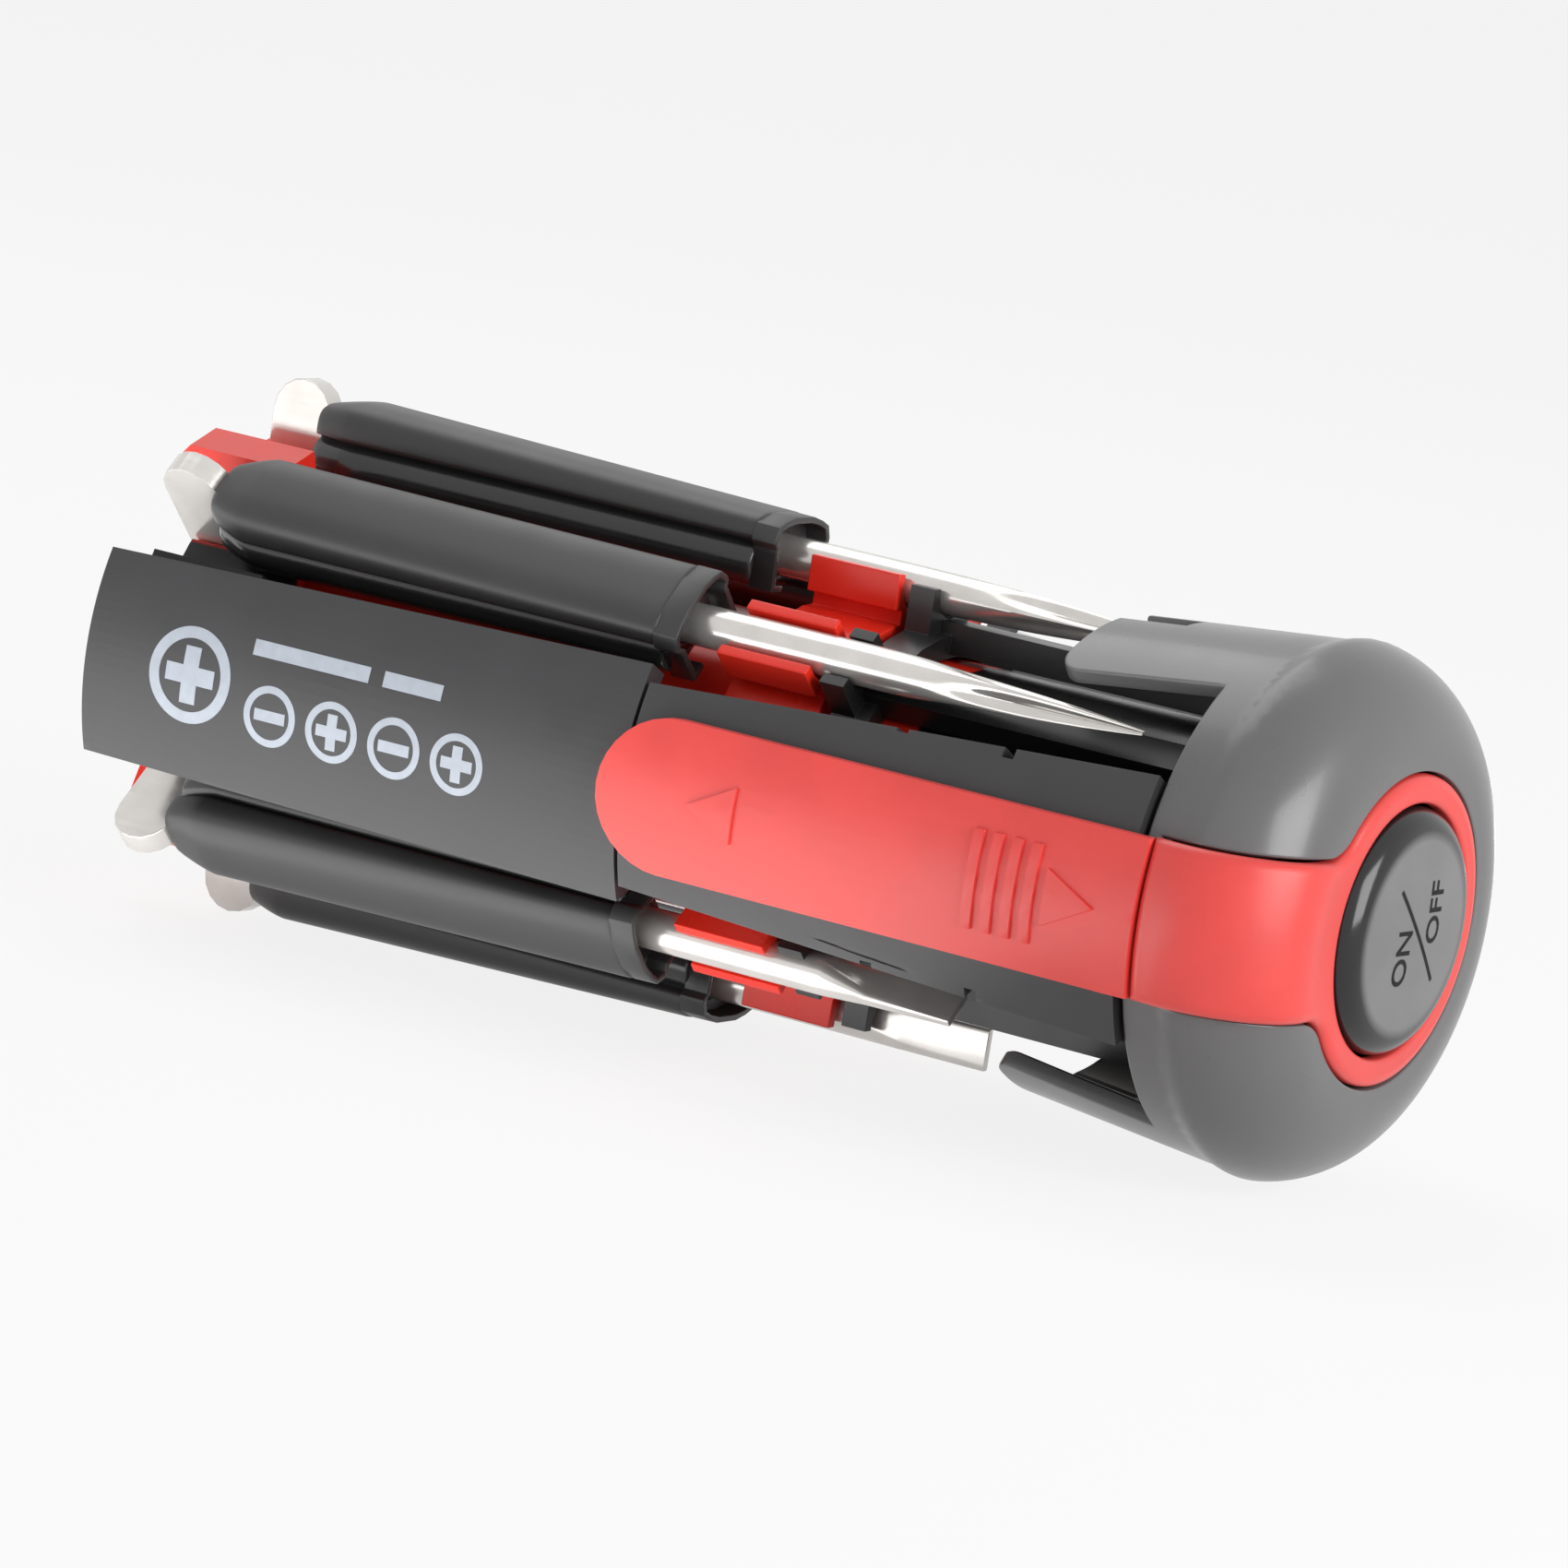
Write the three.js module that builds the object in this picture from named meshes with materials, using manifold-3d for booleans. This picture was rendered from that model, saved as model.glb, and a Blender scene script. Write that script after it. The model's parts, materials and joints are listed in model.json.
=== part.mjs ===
// Folding multi-bit screwdriver with a torch: six drivers fold round a battery tube, and the top and bottom
// ones lie in slots of the rear cap. A driver swings out on its tang, half a turn, and then lies on the
// tool's axis. A thumb slider pushes a ring of saddles into the hollow sleeves and so locks them folded.
//
// Millimetres. The tool lies along +X with the rear cap at +X, and +Z is up. Stations are distances along the
// axis from the front of the side panels. Angles turn about the axis, from the side panel at -Y towards +Z.

import * as THREE from 'three';
import { mergeVertices } from 'three/addons/utils/BufferGeometryUtils.js';
import Module from 'manifold-3d';

const wasm = await Module();
wasm.setup();

// Battery tube: three cells side by side set its bore
const cellCount = 3;
const firstCellAngle = 30;
const cellDiameter = 10.5;
const cellLength = 44.5;
const cellNippleRadius = 1.9;
const cellNippleLength = 0.8;
const cellGap = 0.3;
const tubeWall = 2.6;
const shoulderWidth = 2.4;
const contactThickness = 0.8;

// Lock ring and its slider
const ringWall = 2;
const ringClearance = 0.4;
const lockTravel = 5;
const saddleLength = 9.7;
const saddleSetback = 3.2;
const saddleNeck = 4;
const saddleRise = 1.2;
const ringFrontSetback = 0.3;
const sliderWidth = 14.4;
const sliderThickness = 1;
const sliderOverlap = 1.65;
const sliderOverrun = 1.6;
const sliderLift = 0.1;
const sliderEmboss = 0.35;
const stemLength = 4;
const stemWidth = 6;
const arrowLength = 5;
const arrowHalfWidth = 2.6;
const frontArrowPlace = 9.9;
const gripRibs = 4;
const gripPitch = 2;
const gripRibLength = 1;
const gripWidth = 9;
const gripSetback = 17;

// Drivers: flat tang, round rod and moulded sleeve
const driversPerSide = 3;
const firstDriverAngle = 45;
const driverSpacing = 45;
const rodDiameter = 4;
const tangThickness = 2.4;
const tangEyeRadius = 3;
const tangLobeRadius = 3.3;
const lobeRise = 2.7;
const lobeSetback = 0.2;
const tangTailLength = 9;
const pinDiameter = 2;
const pinBite = 0.65;
const sleeveDepth = 8.6;
const sleeveTaper = 1.6;
const driverHeight = 3.1;
const sleeveTopWidth = 9.6;
const sleeveFootWidth = 8.4;
const sleeveNoseTopWidth = 6.4;
const sleeveNoseFootWidth = 5.4;
const sleeveNoseLength = 5.4;
const sleeveNoseDrop = 1;
const sleeveNoseFullness = 0.6;
const sleeveCorner = 1.6;
const sleeveStandOff = 3;
const sleeveOverhang = 0.3;
const sleeveWall = 0.6;
const sleeveLedgeRise = 1.4;
const sleeveLedgeStep = 0.5;

// Front hub and lamps
const hubLength = 12.7;
const hubFinWidth = 4.2;
const hubFinRise = 4.8;
const hubFinLead = 5.6;
const hubFinBevel = 2;
const hubFinRoot = 2;
const hubRimThickness = 8;
const hubWellRadius = 7.2;
const hubLampSpread = 27.5;
const panelPadSpread = 18;
const hubSpigotLength = 4;
const lampPocketSpread = 24;
const lampPocketInner = 9.6;
const lampPocketOuter = 20;
const lampPocketWall = 0.8;
const lampsPerSide = 3;
const lampSpacing = 16;
const lampDiameter = 3.4;
const lampLength = 4;
const lensThickness = 1.2;
const boardThickness = 1.2;

// Side panels and rear strips
const panelLength = 60;
const bodyTaper = 0.9;
const panelFrontSpread = 22.3;
const panelRearSpread = 26.5;
const stripLength = 52.6;
const stripFrontSpread = 22.5;
const stripRearSpread = 29.5;
const shellThickness = 2.4;
const panelRibAngle = 11;
const ribWidth = 2;
const stripWallAngle = 18;
const stripWallSetback = 19;
const stripNotchWidth = 1.2;
const stripNotchDepth = 4.2;
const stripNotchPlaces = [7, 18];

// Bit rack behind the lock ring
const rackSetback = 1.3;
const rackRingLength = 4;
const rackRingWall = 2.2;
const railWidth = 3;
const clipWall = 1.1;
const clipLength = 2.6;
const clipRise = 0.6;

// Rear cap, trim and power button
const capRadius = 25;
const capTaper = 0.1;
const capWall = 2.2;
const capCollar = 4.4;
const domeDepth = 9.8;
const domeFillet = 9.2;
const tabLength = 17.4;
const tabSpread = 33;
const tabSlotWidth = 5.4;
const tabCorner = 5;
const bulkheadThickness = 2;
const trimRadius = 14.3;
const trimFillet = 5;
const trimDepth = 0.9;
const trimProud = 1.2;
const buttonRadius = 11.4;
const buttonProud = 1.8;
const buttonDome = 0.7;
const buttonEdge = 0.7;
const buttonTravel = 1.5;
const buttonFlange = 1.3;
const buttonFlangeThickness = 1.4;
const buttonPlungerRadius = 3;
const switchRadius = 8.8;
const switchLength = 11;
const springRadius = 5;
const springWire = 0.8;
const springTurns = 4;

// Clearances
const seatGap = 0.3;
const mouldGap = 0.25;
const seamGap = 0.4;
const tangSideGap = 0.3;
const pinGap = 0.22;
const bitGap = 0.3;
const flipClearance = 0.5;
const saddleGap = 0.3;
const overcut = 1;
const weldDistance = 1e-4;

// How round the turned forms are
const bodySides = 48;
const tubeSides = 32;
const rodSides = 12;
const smallSides = 8;
const arcSteps = 4;
const domeSteps = 5;
const cornerSteps = 2;
const shellSteps = 10;
const wireSides = 6;
const springStepsPerTurn = 10;

// Each driver's tip, its reach behind the sleeve and the width of its blade or cross
const driverTips = [
  { tip: 'cross', reach: 46.4, width: 4 },
  { tip: 'cross', reach: 42, width: 3.4 },
  { tip: 'cross', reach: 38, width: 2.6 },
  { tip: 'slot', reach: 38, width: 3 },
  { tip: 'slot', reach: 28.1, width: 4 },
  { tip: 'slot', reach: 32.3, width: 3.6 },
];
const bladeThickness = 0.8;
const bladeLength = 9;
const bladeTaper = 5;
const bladeRootRoundness = 0.2;
const squarePower = 0.25;
const crossTaper = 16;
const crossPoint = 0.5;
const crossFlute = 1.3;
const crossFluteLength = 9.6;

// Radii, from the cells outwards
const cellRingRadius = (cellDiameter + cellGap) / 2 / Math.sin(Math.PI / cellCount);
const tubeBore = cellRingRadius + cellDiameter / 2 + cellGap;
const tubeRadius = tubeBore + tubeWall;
const ringBore = tubeRadius + ringClearance;
const ringRadius = ringBore + ringWall;
const sleeveFoot = ringRadius + seatGap;
const bodyRadius = sleeveFoot + sleeveDepth;
const waistRadius = bodyRadius - bodyTaper;
const driverRadius = sleeveFoot + driverHeight;
const lobeRadius = driverRadius + lobeRise;
const pinRingRadius = driverRadius / 2;
const sliderBore = waistRadius + sliderLift + seatGap;
const sliderRadius = sliderBore + sliderThickness;
const hubBossRadius = ringRadius - flipClearance;

// Stations, from the front backwards
const pinStation = tangLobeRadius + lobeSetback;
const sleeveFront = pinStation + sleeveStandOff;
const sleeveRear = panelLength + sleeveOverhang;
const hubFront = pinStation - sleeveStandOff + flipClearance;
const hubRear = hubFront + hubLength;
const tangSlotFloor = pinStation + tangLobeRadius + flipClearance;
const tubeFront = hubRear + seatGap;
const spigotRear = hubRear + hubSpigotLength;
const frontContact = spigotRear + seatGap;
const cellFront = frontContact + contactThickness + cellGap;
const cellRear = cellFront + cellLength + cellNippleLength;
const rearContact = cellRear + cellGap;
const shoulder = rearContact + contactThickness + seatGap;
const saddleFront = sleeveRear + saddleSetback;
const ringFront = saddleFront - ringFrontSetback;
const ringRear = saddleFront + saddleLength;
const rackFront = ringRear + rackSetback;
const stripFront = panelLength + seamGap;
const stripRear = stripFront + stripLength;
const capFace = stripRear + seamGap;
const sliderFront = panelLength - sliderOverlap;
const sliderRear = capFace + sliderOverrun;
const trimFront = sliderRear + seamGap;
const domeStart = capFace + capCollar;
const domeEnd = domeStart + domeDepth;
const tabFront = capFace - tabLength;
const tubeRear = capFace - seatGap;
const buttonTop = domeEnd + buttonProud;
const buttonFlangeFront = domeEnd - capWall - seatGap - buttonFlangeThickness;
const switchRear = buttonFlangeFront - buttonTravel - seatGap - springWire * (springTurns + 1);

// The panels and the sleeves taper from the front of the panels to their rear
const slantAt = (station) => bodyRadius - bodyTaper * (station / panelLength);
const sleeveTopAt = (station) => bodyRadius - sleeveTaper * (station / panelLength);

const degrees = Math.PI / 180;
const finish = (colour, roughness, metalness = 0) => ({ colour, roughness, metalness });
const finishes = {
  red: finish(0xd8242a, 0.42),
  black: finish(0x232426, 0.48),
  glossBlack: finish(0x1b1c1e, 0.25),
  steel: finish(0xc9cccf, 0.22, 1),
  brass: finish(0xc9a24a, 0.3, 1),
  clear: finish(0xeef4f8, 0.05),
  lamp: finish(0xf4f6e8, 0.12),
  board: finish(0x1f6a3c, 0.55),
  cell: finish(0x5f646b, 0.35, 0.6),
  spring: finish(0xb9bcc0, 0.3, 1),
};

// Turn a closed geometry into a solid that can be cut and joined
function solid(geometry) {
  const plain = geometry.index ? geometry.toNonIndexed() : geometry.clone();
  plain.deleteAttribute('normal');
  plain.deleteAttribute('uv');
  const merged = mergeVertices(plain, weldDistance);
  return new wasm.Manifold(new wasm.Mesh({
    numProp: 3,
    vertProperties: new Float32Array(merged.attributes.position.array),
    triVerts: new Uint32Array(merged.index.array),
  }));
}

// Turn a solid back into a geometry
function geometryOf(body) {
  const mesh = body.getMesh();
  const geometry = new THREE.BufferGeometry();
  geometry.setAttribute('position', new THREE.BufferAttribute(new Float32Array(mesh.vertProperties), 3));
  geometry.setIndex(new THREE.BufferAttribute(new Uint32Array(mesh.triVerts), 1));
  geometry.computeVertexNormals();
  return geometry;
}

const joined = (...parts) => geometryOf(parts.map(solid).reduce((whole, part) => whole.add(part)));
const cut = (blank, ...tools) => geometryOf(
  tools.map(solid).reduce((rest, cutter) => rest.subtract(cutter), solid(blank)));
const shared = (...parts) => geometryOf(parts.map(solid).reduce((whole, part) => whole.intersect(part)));

// Revolve an outline of [radius, station] points about the tool's axis
function revolved(outline, sides = bodySides) {
  const points = outline.map(([radius, station]) => new THREE.Vector2(radius, station));
  return new THREE.LatheGeometry(points, sides).rotateZ(-Math.PI / 2);
}

// A round bar, or a tube with a bore, between two stations
function bar(radius, front, rear, sides = bodySides) {
  return revolved([[0, front], [radius, front], [radius, rear], [0, rear]], sides);
}

function tube(bore, radius, front, rear, sides = bodySides) {
  return revolved([[bore, front], [radius, front], [radius, rear], [bore, rear], [bore, front]], sides);
}

const prism = (shape, depth, curveSegments) => new THREE.ExtrudeGeometry(
  shape, { depth, bevelEnabled: false, curveSegments });

// Extrude an outline drawn across the axis, as y and z, between two stations
function alongAxis(shape, front, rear, curveSegments = smallSides) {
  const block = prism(shape, rear - front, curveSegments);
  block.applyMatrix4(new THREE.Matrix4().makeBasis(
    new THREE.Vector3(0, 1, 0), new THREE.Vector3(0, 0, 1), new THREE.Vector3(1, 0, 0)));
  return block.translate(front, 0, 0);
}

// Extrude an outline drawn in the plane of the axis and a radius, as x and z, to half the width on each side
function acrossAxis(shape, width, curveSegments = smallSides) {
  const block = prism(shape, width, curveSegments);
  return block.rotateX(Math.PI / 2).translate(0, width / 2, 0);
}

// Extrude an outline drawn on the unrolled surface, as x and y, outwards between two radii
function outwards(shape, inner, outer, curveSegments = smallSides) {
  return prism(shape, outer - inner, curveSegments).translate(0, 0, inner);
}

// A box from its limits along x, y and z
function box([x0, x1], [y0, y1], [z0, z1]) {
  const block = new THREE.BoxGeometry(x1 - x0, y1 - y0, z1 - z0);
  return block.translate((x0 + x1) / 2, (y0 + y1) / 2, (z0 + z1) / 2);
}

const wide = (width) => [-width / 2, width / 2];

function polygon(points) {
  return new THREE.Shape(points.map(([a, b]) => new THREE.Vector2(a, b)));
}

function disc(x, y, radius) {
  return new THREE.Shape().absarc(x, y, radius, 0, 2 * Math.PI, false);
}

// A ring sector across the axis, centred on the radial direction z
function sector(inner, outer, spread) {
  const from = (90 - spread) * degrees;
  const to = (90 + spread) * degrees;
  const shape = new THREE.Shape();
  shape.absarc(0, 0, outer, from, to, false);
  shape.absarc(0, 0, inner, to, from, true);
  return shape;
}

// Skin a run of sections, each a ring of points with the same count, and close both ends
function loft(sections) {
  const count = sections[0].length;
  const faces = [];
  for (let row = 0; row + 1 < sections.length; row += 1) {
    for (let k = 0; k < count; k += 1) {
      const a = row * count + k;
      const b = row * count + ((k + 1) % count);
      faces.push(a, b, b + count, a, b + count, a + count);
    }
  }
  const last = (sections.length - 1) * count;
  const flat = (section) => section.map((point) => new THREE.Vector2(point.y, point.z));
  THREE.ShapeUtils.triangulateShape(flat(sections[0]), []).forEach(([a, b, c]) => faces.push(a, c, b));
  THREE.ShapeUtils.triangulateShape(flat(sections.at(-1)), []).forEach((face) => {
    faces.push(...face.map((corner) => last + corner));
  });
  const positions = sections.flat().flatMap((point) => [point.x, point.y, point.z]);
  const geometry = new THREE.BufferGeometry();
  geometry.setAttribute('position', new THREE.Float32BufferAttribute(positions, 3));
  geometry.setIndex(faces);
  return geometry;
}

// Turn a geometry drawn on the radial direction z to an angle about the axis
const turned = (geometry, angle) => geometry.clone().rotateX((90 - angle) * degrees);

const driverAngles = [0, 180].flatMap((side) => Array.from(
  { length: driversPerSide }, (_, k) => side + firstDriverAngle + k * driverSpacing));
const finAngles = [0, 180].flatMap((side) => Array.from(
  { length: driversPerSide - 1 }, (_, k) => side + firstDriverAngle + (k + 0.5) * driverSpacing));
const sides = { left: 0, right: 180 };

const tool = new THREE.Group();

// Put a geometry into the tool as a named piece, turned to an angle about the axis
function add(name, geometry, look, angle = 90) {
  const material = new THREE.MeshStandardMaterial({
    color: look.colour, roughness: look.roughness, metalness: look.metalness,
  });
  const mesh = new THREE.Mesh(geometry, material);
  mesh.name = name;
  mesh.rotation.x = (90 - angle) * degrees;
  tool.add(mesh);
}

// Front hub: a boss with a slot for each tang, fins between the drivers and a lamp block behind each panel
const tangSlot = tangThickness + 2 * tangSideGap;
const pinLength = tangSlot + 2 * pinBite;
const finTop = hubBossRadius + hubFinRise;
const lampBack = hubFront + lensThickness + seatGap + lampLength;
const boardFront = lampBack + seatGap;
const pocketFloor = boardFront + boardThickness + seatGap;

function pinBar(radius, length) {
  const rod = new THREE.CylinderGeometry(radius, radius, length, smallSides);
  return rod.translate(pinStation, 0, pinRingRadius);
}

function frontHub() {
  const finFront = hubFront - hubFinLead;
  const finRear = hubFront + hubRimThickness;
  const finRoot = hubBossRadius - hubFinRoot;
  const fin = acrossAxis(polygon([
    [finFront, finRoot],
    [finRear, finRoot],
    [finRear, finTop],
    [finFront + hubFinBevel, finTop],
    [finFront, finTop - hubFinBevel],
  ]), hubFinWidth);
  const lampTop = lampPocketOuter + lampPocketWall;
  const lampBlock = alongAxis(sector(hubWellRadius, lampTop, hubLampSpread), hubFront, hubRear, arcSteps);
  const padTop = slantAt(hubRear) - shellThickness - seatGap;
  const panelPad = alongAxis(sector(lampPocketOuter, padTop, panelPadSpread), hubFront, hubRear, arcSteps);
  const body = joined(
    bar(hubBossRadius, hubFront, hubRear),
    bar(tubeBore - seatGap, hubRear - hubFinRoot, spigotRear, tubeSides),
    ...finAngles.map((angle) => turned(fin, angle)),
    ...Object.values(sides).flatMap((angle) => [turned(lampBlock, angle), turned(panelPad, angle)]),
  );
  const outside = finFront - overcut;
  const slot = box([outside, tangSlotFloor], wide(tangSlot), [0, 2 * bodyRadius]);
  const pinHole = pinBar(pinDiameter / 2 + seatGap, pinLength + seatGap);
  const pocketShape = sector(lampPocketInner, lampPocketOuter, lampPocketSpread);
  const pocket = alongAxis(pocketShape, outside, pocketFloor, arcSteps);
  return cut(
    body,
    bar(hubWellRadius, outside, tangSlotFloor, tubeSides),
    ...driverAngles.flatMap((angle) => [turned(slot, angle), turned(pinHole, angle)]),
    ...Object.values(sides).map((angle) => turned(pocket, angle)),
  );
}

add('front_hub', frontHub(), finishes.red);

// Lamps: three to a side on a board, behind a clear window
const lampRing = (lampPocketInner + lampPocketOuter) / 2;
const gapAngle = seatGap / lampPocketInner / degrees;
const pocketSector = sector(
  lampPocketInner + seatGap, lampPocketOuter - seatGap, lampPocketSpread - gapAngle);

function lamp() {
  const radius = lampDiameter / 2;
  const tip = lampBack - lampLength;
  const arc = Array.from({ length: arcSteps + 1 }, (_, k) => {
    const turn = (k / arcSteps) * Math.PI / 2;
    return [radius * Math.sin(turn), tip + radius * (1 - Math.cos(turn))];
  });
  return revolved([...arc, [radius, lampBack], [0, lampBack]], smallSides).translate(0, 0, lampRing);
}

const lampPlate = (front, thickness) => alongAxis(pocketSector, front, front + thickness, arcSteps);

Object.entries(sides).forEach(([side, angle]) => {
  add(`lamp_window_${side}`, lampPlate(hubFront, lensThickness), finishes.clear, angle);
  add(`lamp_board_${side}`, lampPlate(boardFront, boardThickness), finishes.board, angle);
  for (let k = 0; k < lampsPerSide; k += 1) {
    const place = angle + (k - (lampsPerSide - 1) / 2) * lampSpacing;
    add(`lamp_${side}_${k + 1}`, lamp(), finishes.lamp, place);
  }
});

// Battery tube with a shoulder inside, three cells and their contact plates
add('battery_tube', revolved([
  [tubeBore, tubeFront],
  [tubeRadius, tubeFront],
  [tubeRadius, tubeRear],
  [tubeBore - shoulderWidth, tubeRear],
  [tubeBore - shoulderWidth, shoulder],
  [tubeBore, shoulder],
  [tubeBore, tubeFront],
], tubeSides), finishes.red);

const contactRadius = tubeBore - seatGap;
const contactPlate = (front) => bar(contactRadius, front, front + contactThickness, tubeSides);
add('front_contact', contactPlate(frontContact), finishes.brass);
add('rear_contact', contactPlate(rearContact), finishes.brass);

const cell = revolved([
  [0, cellFront],
  [cellDiameter / 2, cellFront],
  [cellDiameter / 2, cellFront + cellLength],
  [cellNippleRadius, cellFront + cellLength],
  [cellNippleRadius, cellRear],
  [0, cellRear],
], rodSides).translate(0, 0, cellRingRadius);
for (let k = 0; k < cellCount; k += 1) {
  add(`cell_${k + 1}`, cell, finishes.cell, firstCellAngle + k * (360 / cellCount));
}

// Drivers: a flat tang that turns on its pin, a round rod with its tip, and a moulded sleeve
function tangPlate() {
  const web = polygon([
    [pinStation - tangEyeRadius, pinRingRadius],
    [pinStation + tangEyeRadius, pinRingRadius],
    [pinStation + tangLobeRadius, lobeRadius],
    [pinStation - tangLobeRadius, lobeRadius],
  ]);
  const tailDepth = rodDiameter / 2;
  const tail = box([pinStation, pinStation + tangTailLength], wide(tangThickness),
    [driverRadius - tailDepth, driverRadius + tailDepth]);
  const plate = joined(
    acrossAxis(web, tangThickness),
    acrossAxis(disc(pinStation, pinRingRadius, tangEyeRadius), tangThickness),
    acrossAxis(disc(pinStation, lobeRadius, tangLobeRadius), tangThickness),
    tail,
  );
  return cut(plate, pinBar(pinDiameter / 2 + pinGap, tangSlot));
}

// One ring of points round the rod's axis; roundness 1 is an ellipse and 0 nearly a rectangle
function rodRing(station, halfWidth, halfDepth, roundness = 1) {
  const power = squarePower + (1 - squarePower) * roundness;
  return Array.from({ length: rodSides }, (_, k) => {
    const turn = ((k + 0.5) / rodSides) * 2 * Math.PI;
    const ease = (value) => Math.sign(value) * Math.abs(value) ** power;
    return new THREE.Vector3(
      station, halfWidth * ease(Math.cos(turn)), driverRadius + halfDepth * ease(Math.sin(turn)));
  });
}

function slottedRod(start, end, width) {
  const radius = rodDiameter / 2;
  return loft([
    rodRing(start, radius, radius),
    rodRing(end - bladeLength - bladeTaper, radius, radius),
    rodRing(end - bladeLength, bladeThickness, width / 2, bladeRootRoundness),
    rodRing(end, bladeThickness / 2, width / 2, 0),
  ]);
}

function crossRod(start, end, width) {
  const radius = rodDiameter / 2;
  const rod = loft([
    rodRing(start, radius, radius),
    rodRing(end - 2 * crossTaper, radius, radius),
    rodRing(end - crossTaper, width / 2, width / 2),
    rodRing(end - width, width / 2, width / 2),
    rodRing(end, crossPoint, crossPoint),
  ]);
  const land = crossFlute / 2;
  const flute = (ySide, zSide) => {
    const y = [ySide * land, ySide * (land + rodDiameter)].sort((a, b) => a - b);
    const z = [zSide * land, zSide * (land + rodDiameter)].sort((a, b) => a - b);
    return box([end - crossFluteLength, end + overcut], y, z).translate(0, 0, driverRadius);
  };
  return cut(rod, flute(1, 1), flute(1, -1), flute(-1, 1), flute(-1, -1));
}

const rods = { slot: slottedRod, cross: crossRod };

// One section of the sleeve: a crowned top with round corners that overhangs the lower sides by a ledge
function sleeveSection(station, topWidth, footWidth, top, inset = 0) {
  const halfTop = topWidth / 2 - inset;
  const halfFoot = footWidth / 2 - inset;
  const crown = top - inset;
  const corner = sleeveCorner - inset / 2;
  const ledge = driverRadius + sleeveLedgeRise;
  const crownAt = (y) => crown - (y * y) / (2 * bodyRadius);
  const roundCorner = Array.from({ length: cornerSteps + 1 }, (_, k) => {
    const turn = (k / cornerSteps) * Math.PI / 2;
    return [halfTop - corner * (1 - Math.cos(turn)), crownAt(halfTop) - corner * (1 - Math.sin(turn))];
  });
  const right = [
    [halfFoot, sleeveFoot + inset],
    [halfTop - sleeveLedgeStep, ledge - sleeveLedgeStep],
    [halfTop, ledge],
    ...roundCorner,
    [halfTop / 3, crownAt(halfTop / 3)],
  ];
  const left = right.map(([y, z]) => [-y, z]).reverse();
  return [...right, ...left].map(([y, z]) => new THREE.Vector3(station, y, z));
}

function sleeve() {
  const noseEnd = sleeveFront + sleeveNoseLength;
  const noseMiddle = sleeveFront + sleeveNoseLength / 2;
  const noseSection = (station, fullness) => sleeveSection(
    station,
    sleeveNoseTopWidth + fullness * (sleeveTopWidth - sleeveNoseTopWidth),
    sleeveNoseFootWidth + fullness * (sleeveFootWidth - sleeveNoseFootWidth),
    sleeveTopAt(station) - sleeveNoseDrop * (1 - fullness),
  );
  const shell = loft([
    noseSection(sleeveFront, 0),
    noseSection(noseMiddle, sleeveNoseFullness),
    noseSection(noseEnd, 1),
    noseSection(sleeveRear, 1),
  ]);
  const hollowFront = sleeveRear - sleeveHollow;
  const behind = sleeveRear + overcut;
  const hollow = loft([hollowFront, behind].map((station) => sleeveSection(
    station, sleeveTopWidth, sleeveFootWidth, sleeveTopAt(sleeveRear), sleeveWall)));
  const neckSlot = box(
    [hollowFront, behind], wide(saddleNeck + 2 * saddleGap), [sleeveFoot - overcut, driverRadius]);
  const tangGap = tangThickness + 2 * mouldGap;
  const lobeSlot = acrossAxis(disc(pinStation, lobeRadius, tangLobeRadius + mouldGap), tangGap);
  const tailDepth = rodDiameter / 2 + mouldGap;
  const tailSlot = box([pinStation, pinStation + tangTailLength + mouldGap], wide(tangGap),
    [driverRadius - tailDepth, driverRadius + tailDepth]);
  const webSlot = box([pinStation, pinStation + tangLobeRadius + mouldGap], wide(tangGap),
    [sleeveFoot - overcut, lobeRadius]);
  const bore = bar(rodDiameter / 2 + mouldGap, pinStation, behind, rodSides).translate(0, 0, driverRadius);
  return cut(shell, hollow, neckSlot, lobeSlot, webSlot, tailSlot, bore);
}

const sleeveHollow = lockTravel - saddleSetback + flipClearance;
const tang = tangPlate();
const sleeveBody = sleeve();
const pin = pinBar(pinDiameter / 2, pinLength);
driverAngles.forEach((angle, k) => {
  const { tip, reach, width } = driverTips[k];
  const rod = rods[tip](pinStation + tangTailLength / 2, sleeveRear + reach, width);
  add(`driver_${k + 1}_shank`, joined(tang, rod), finishes.steel, angle);
  add(`driver_${k + 1}_sleeve`, sleeveBody, finishes.black, angle);
  add(`driver_${k + 1}_pin`, pin, finishes.steel, angle);
});

// Side panels: tapered shells that widen to the rear, on two ribs that stand on the battery tube
function shellSection(station, outer, spread) {
  const arc = (radius, from, to) => Array.from({ length: shellSteps + 1 }, (_, k) => {
    const turn = (90 + from + (to - from) * (k / shellSteps)) * degrees;
    return new THREE.Vector3(station, radius * Math.cos(turn), radius * Math.sin(turn));
  });
  return [...arc(outer, -spread, spread), ...arc(outer - shellThickness, spread, -spread)];
}

const ribFoot = tubeRadius + seatGap;
const ribTop = waistRadius - shellThickness / 4;
const ribPair = (front, rear, spread) => [-spread, spread].map((lean) => turned(
  box([front, rear], wide(ribWidth), [ribFoot, ribTop]), 90 + lean));

function sidePanel() {
  const shell = loft([
    shellSection(0, bodyRadius, panelFrontSpread),
    shellSection(panelLength, waistRadius, panelRearSpread),
  ]);
  const ribRear = ringFront - lockTravel - flipClearance;
  return joined(shell, ...ribPair(hubRear + seatGap, ribRear, panelRibAngle));
}

// Rear strips: shells with notched walls behind the panels; the left one has a slot for the slider's stem
const stemRear = ringRear - seatGap;
const stemFront = stemRear - stemLength;

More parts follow.
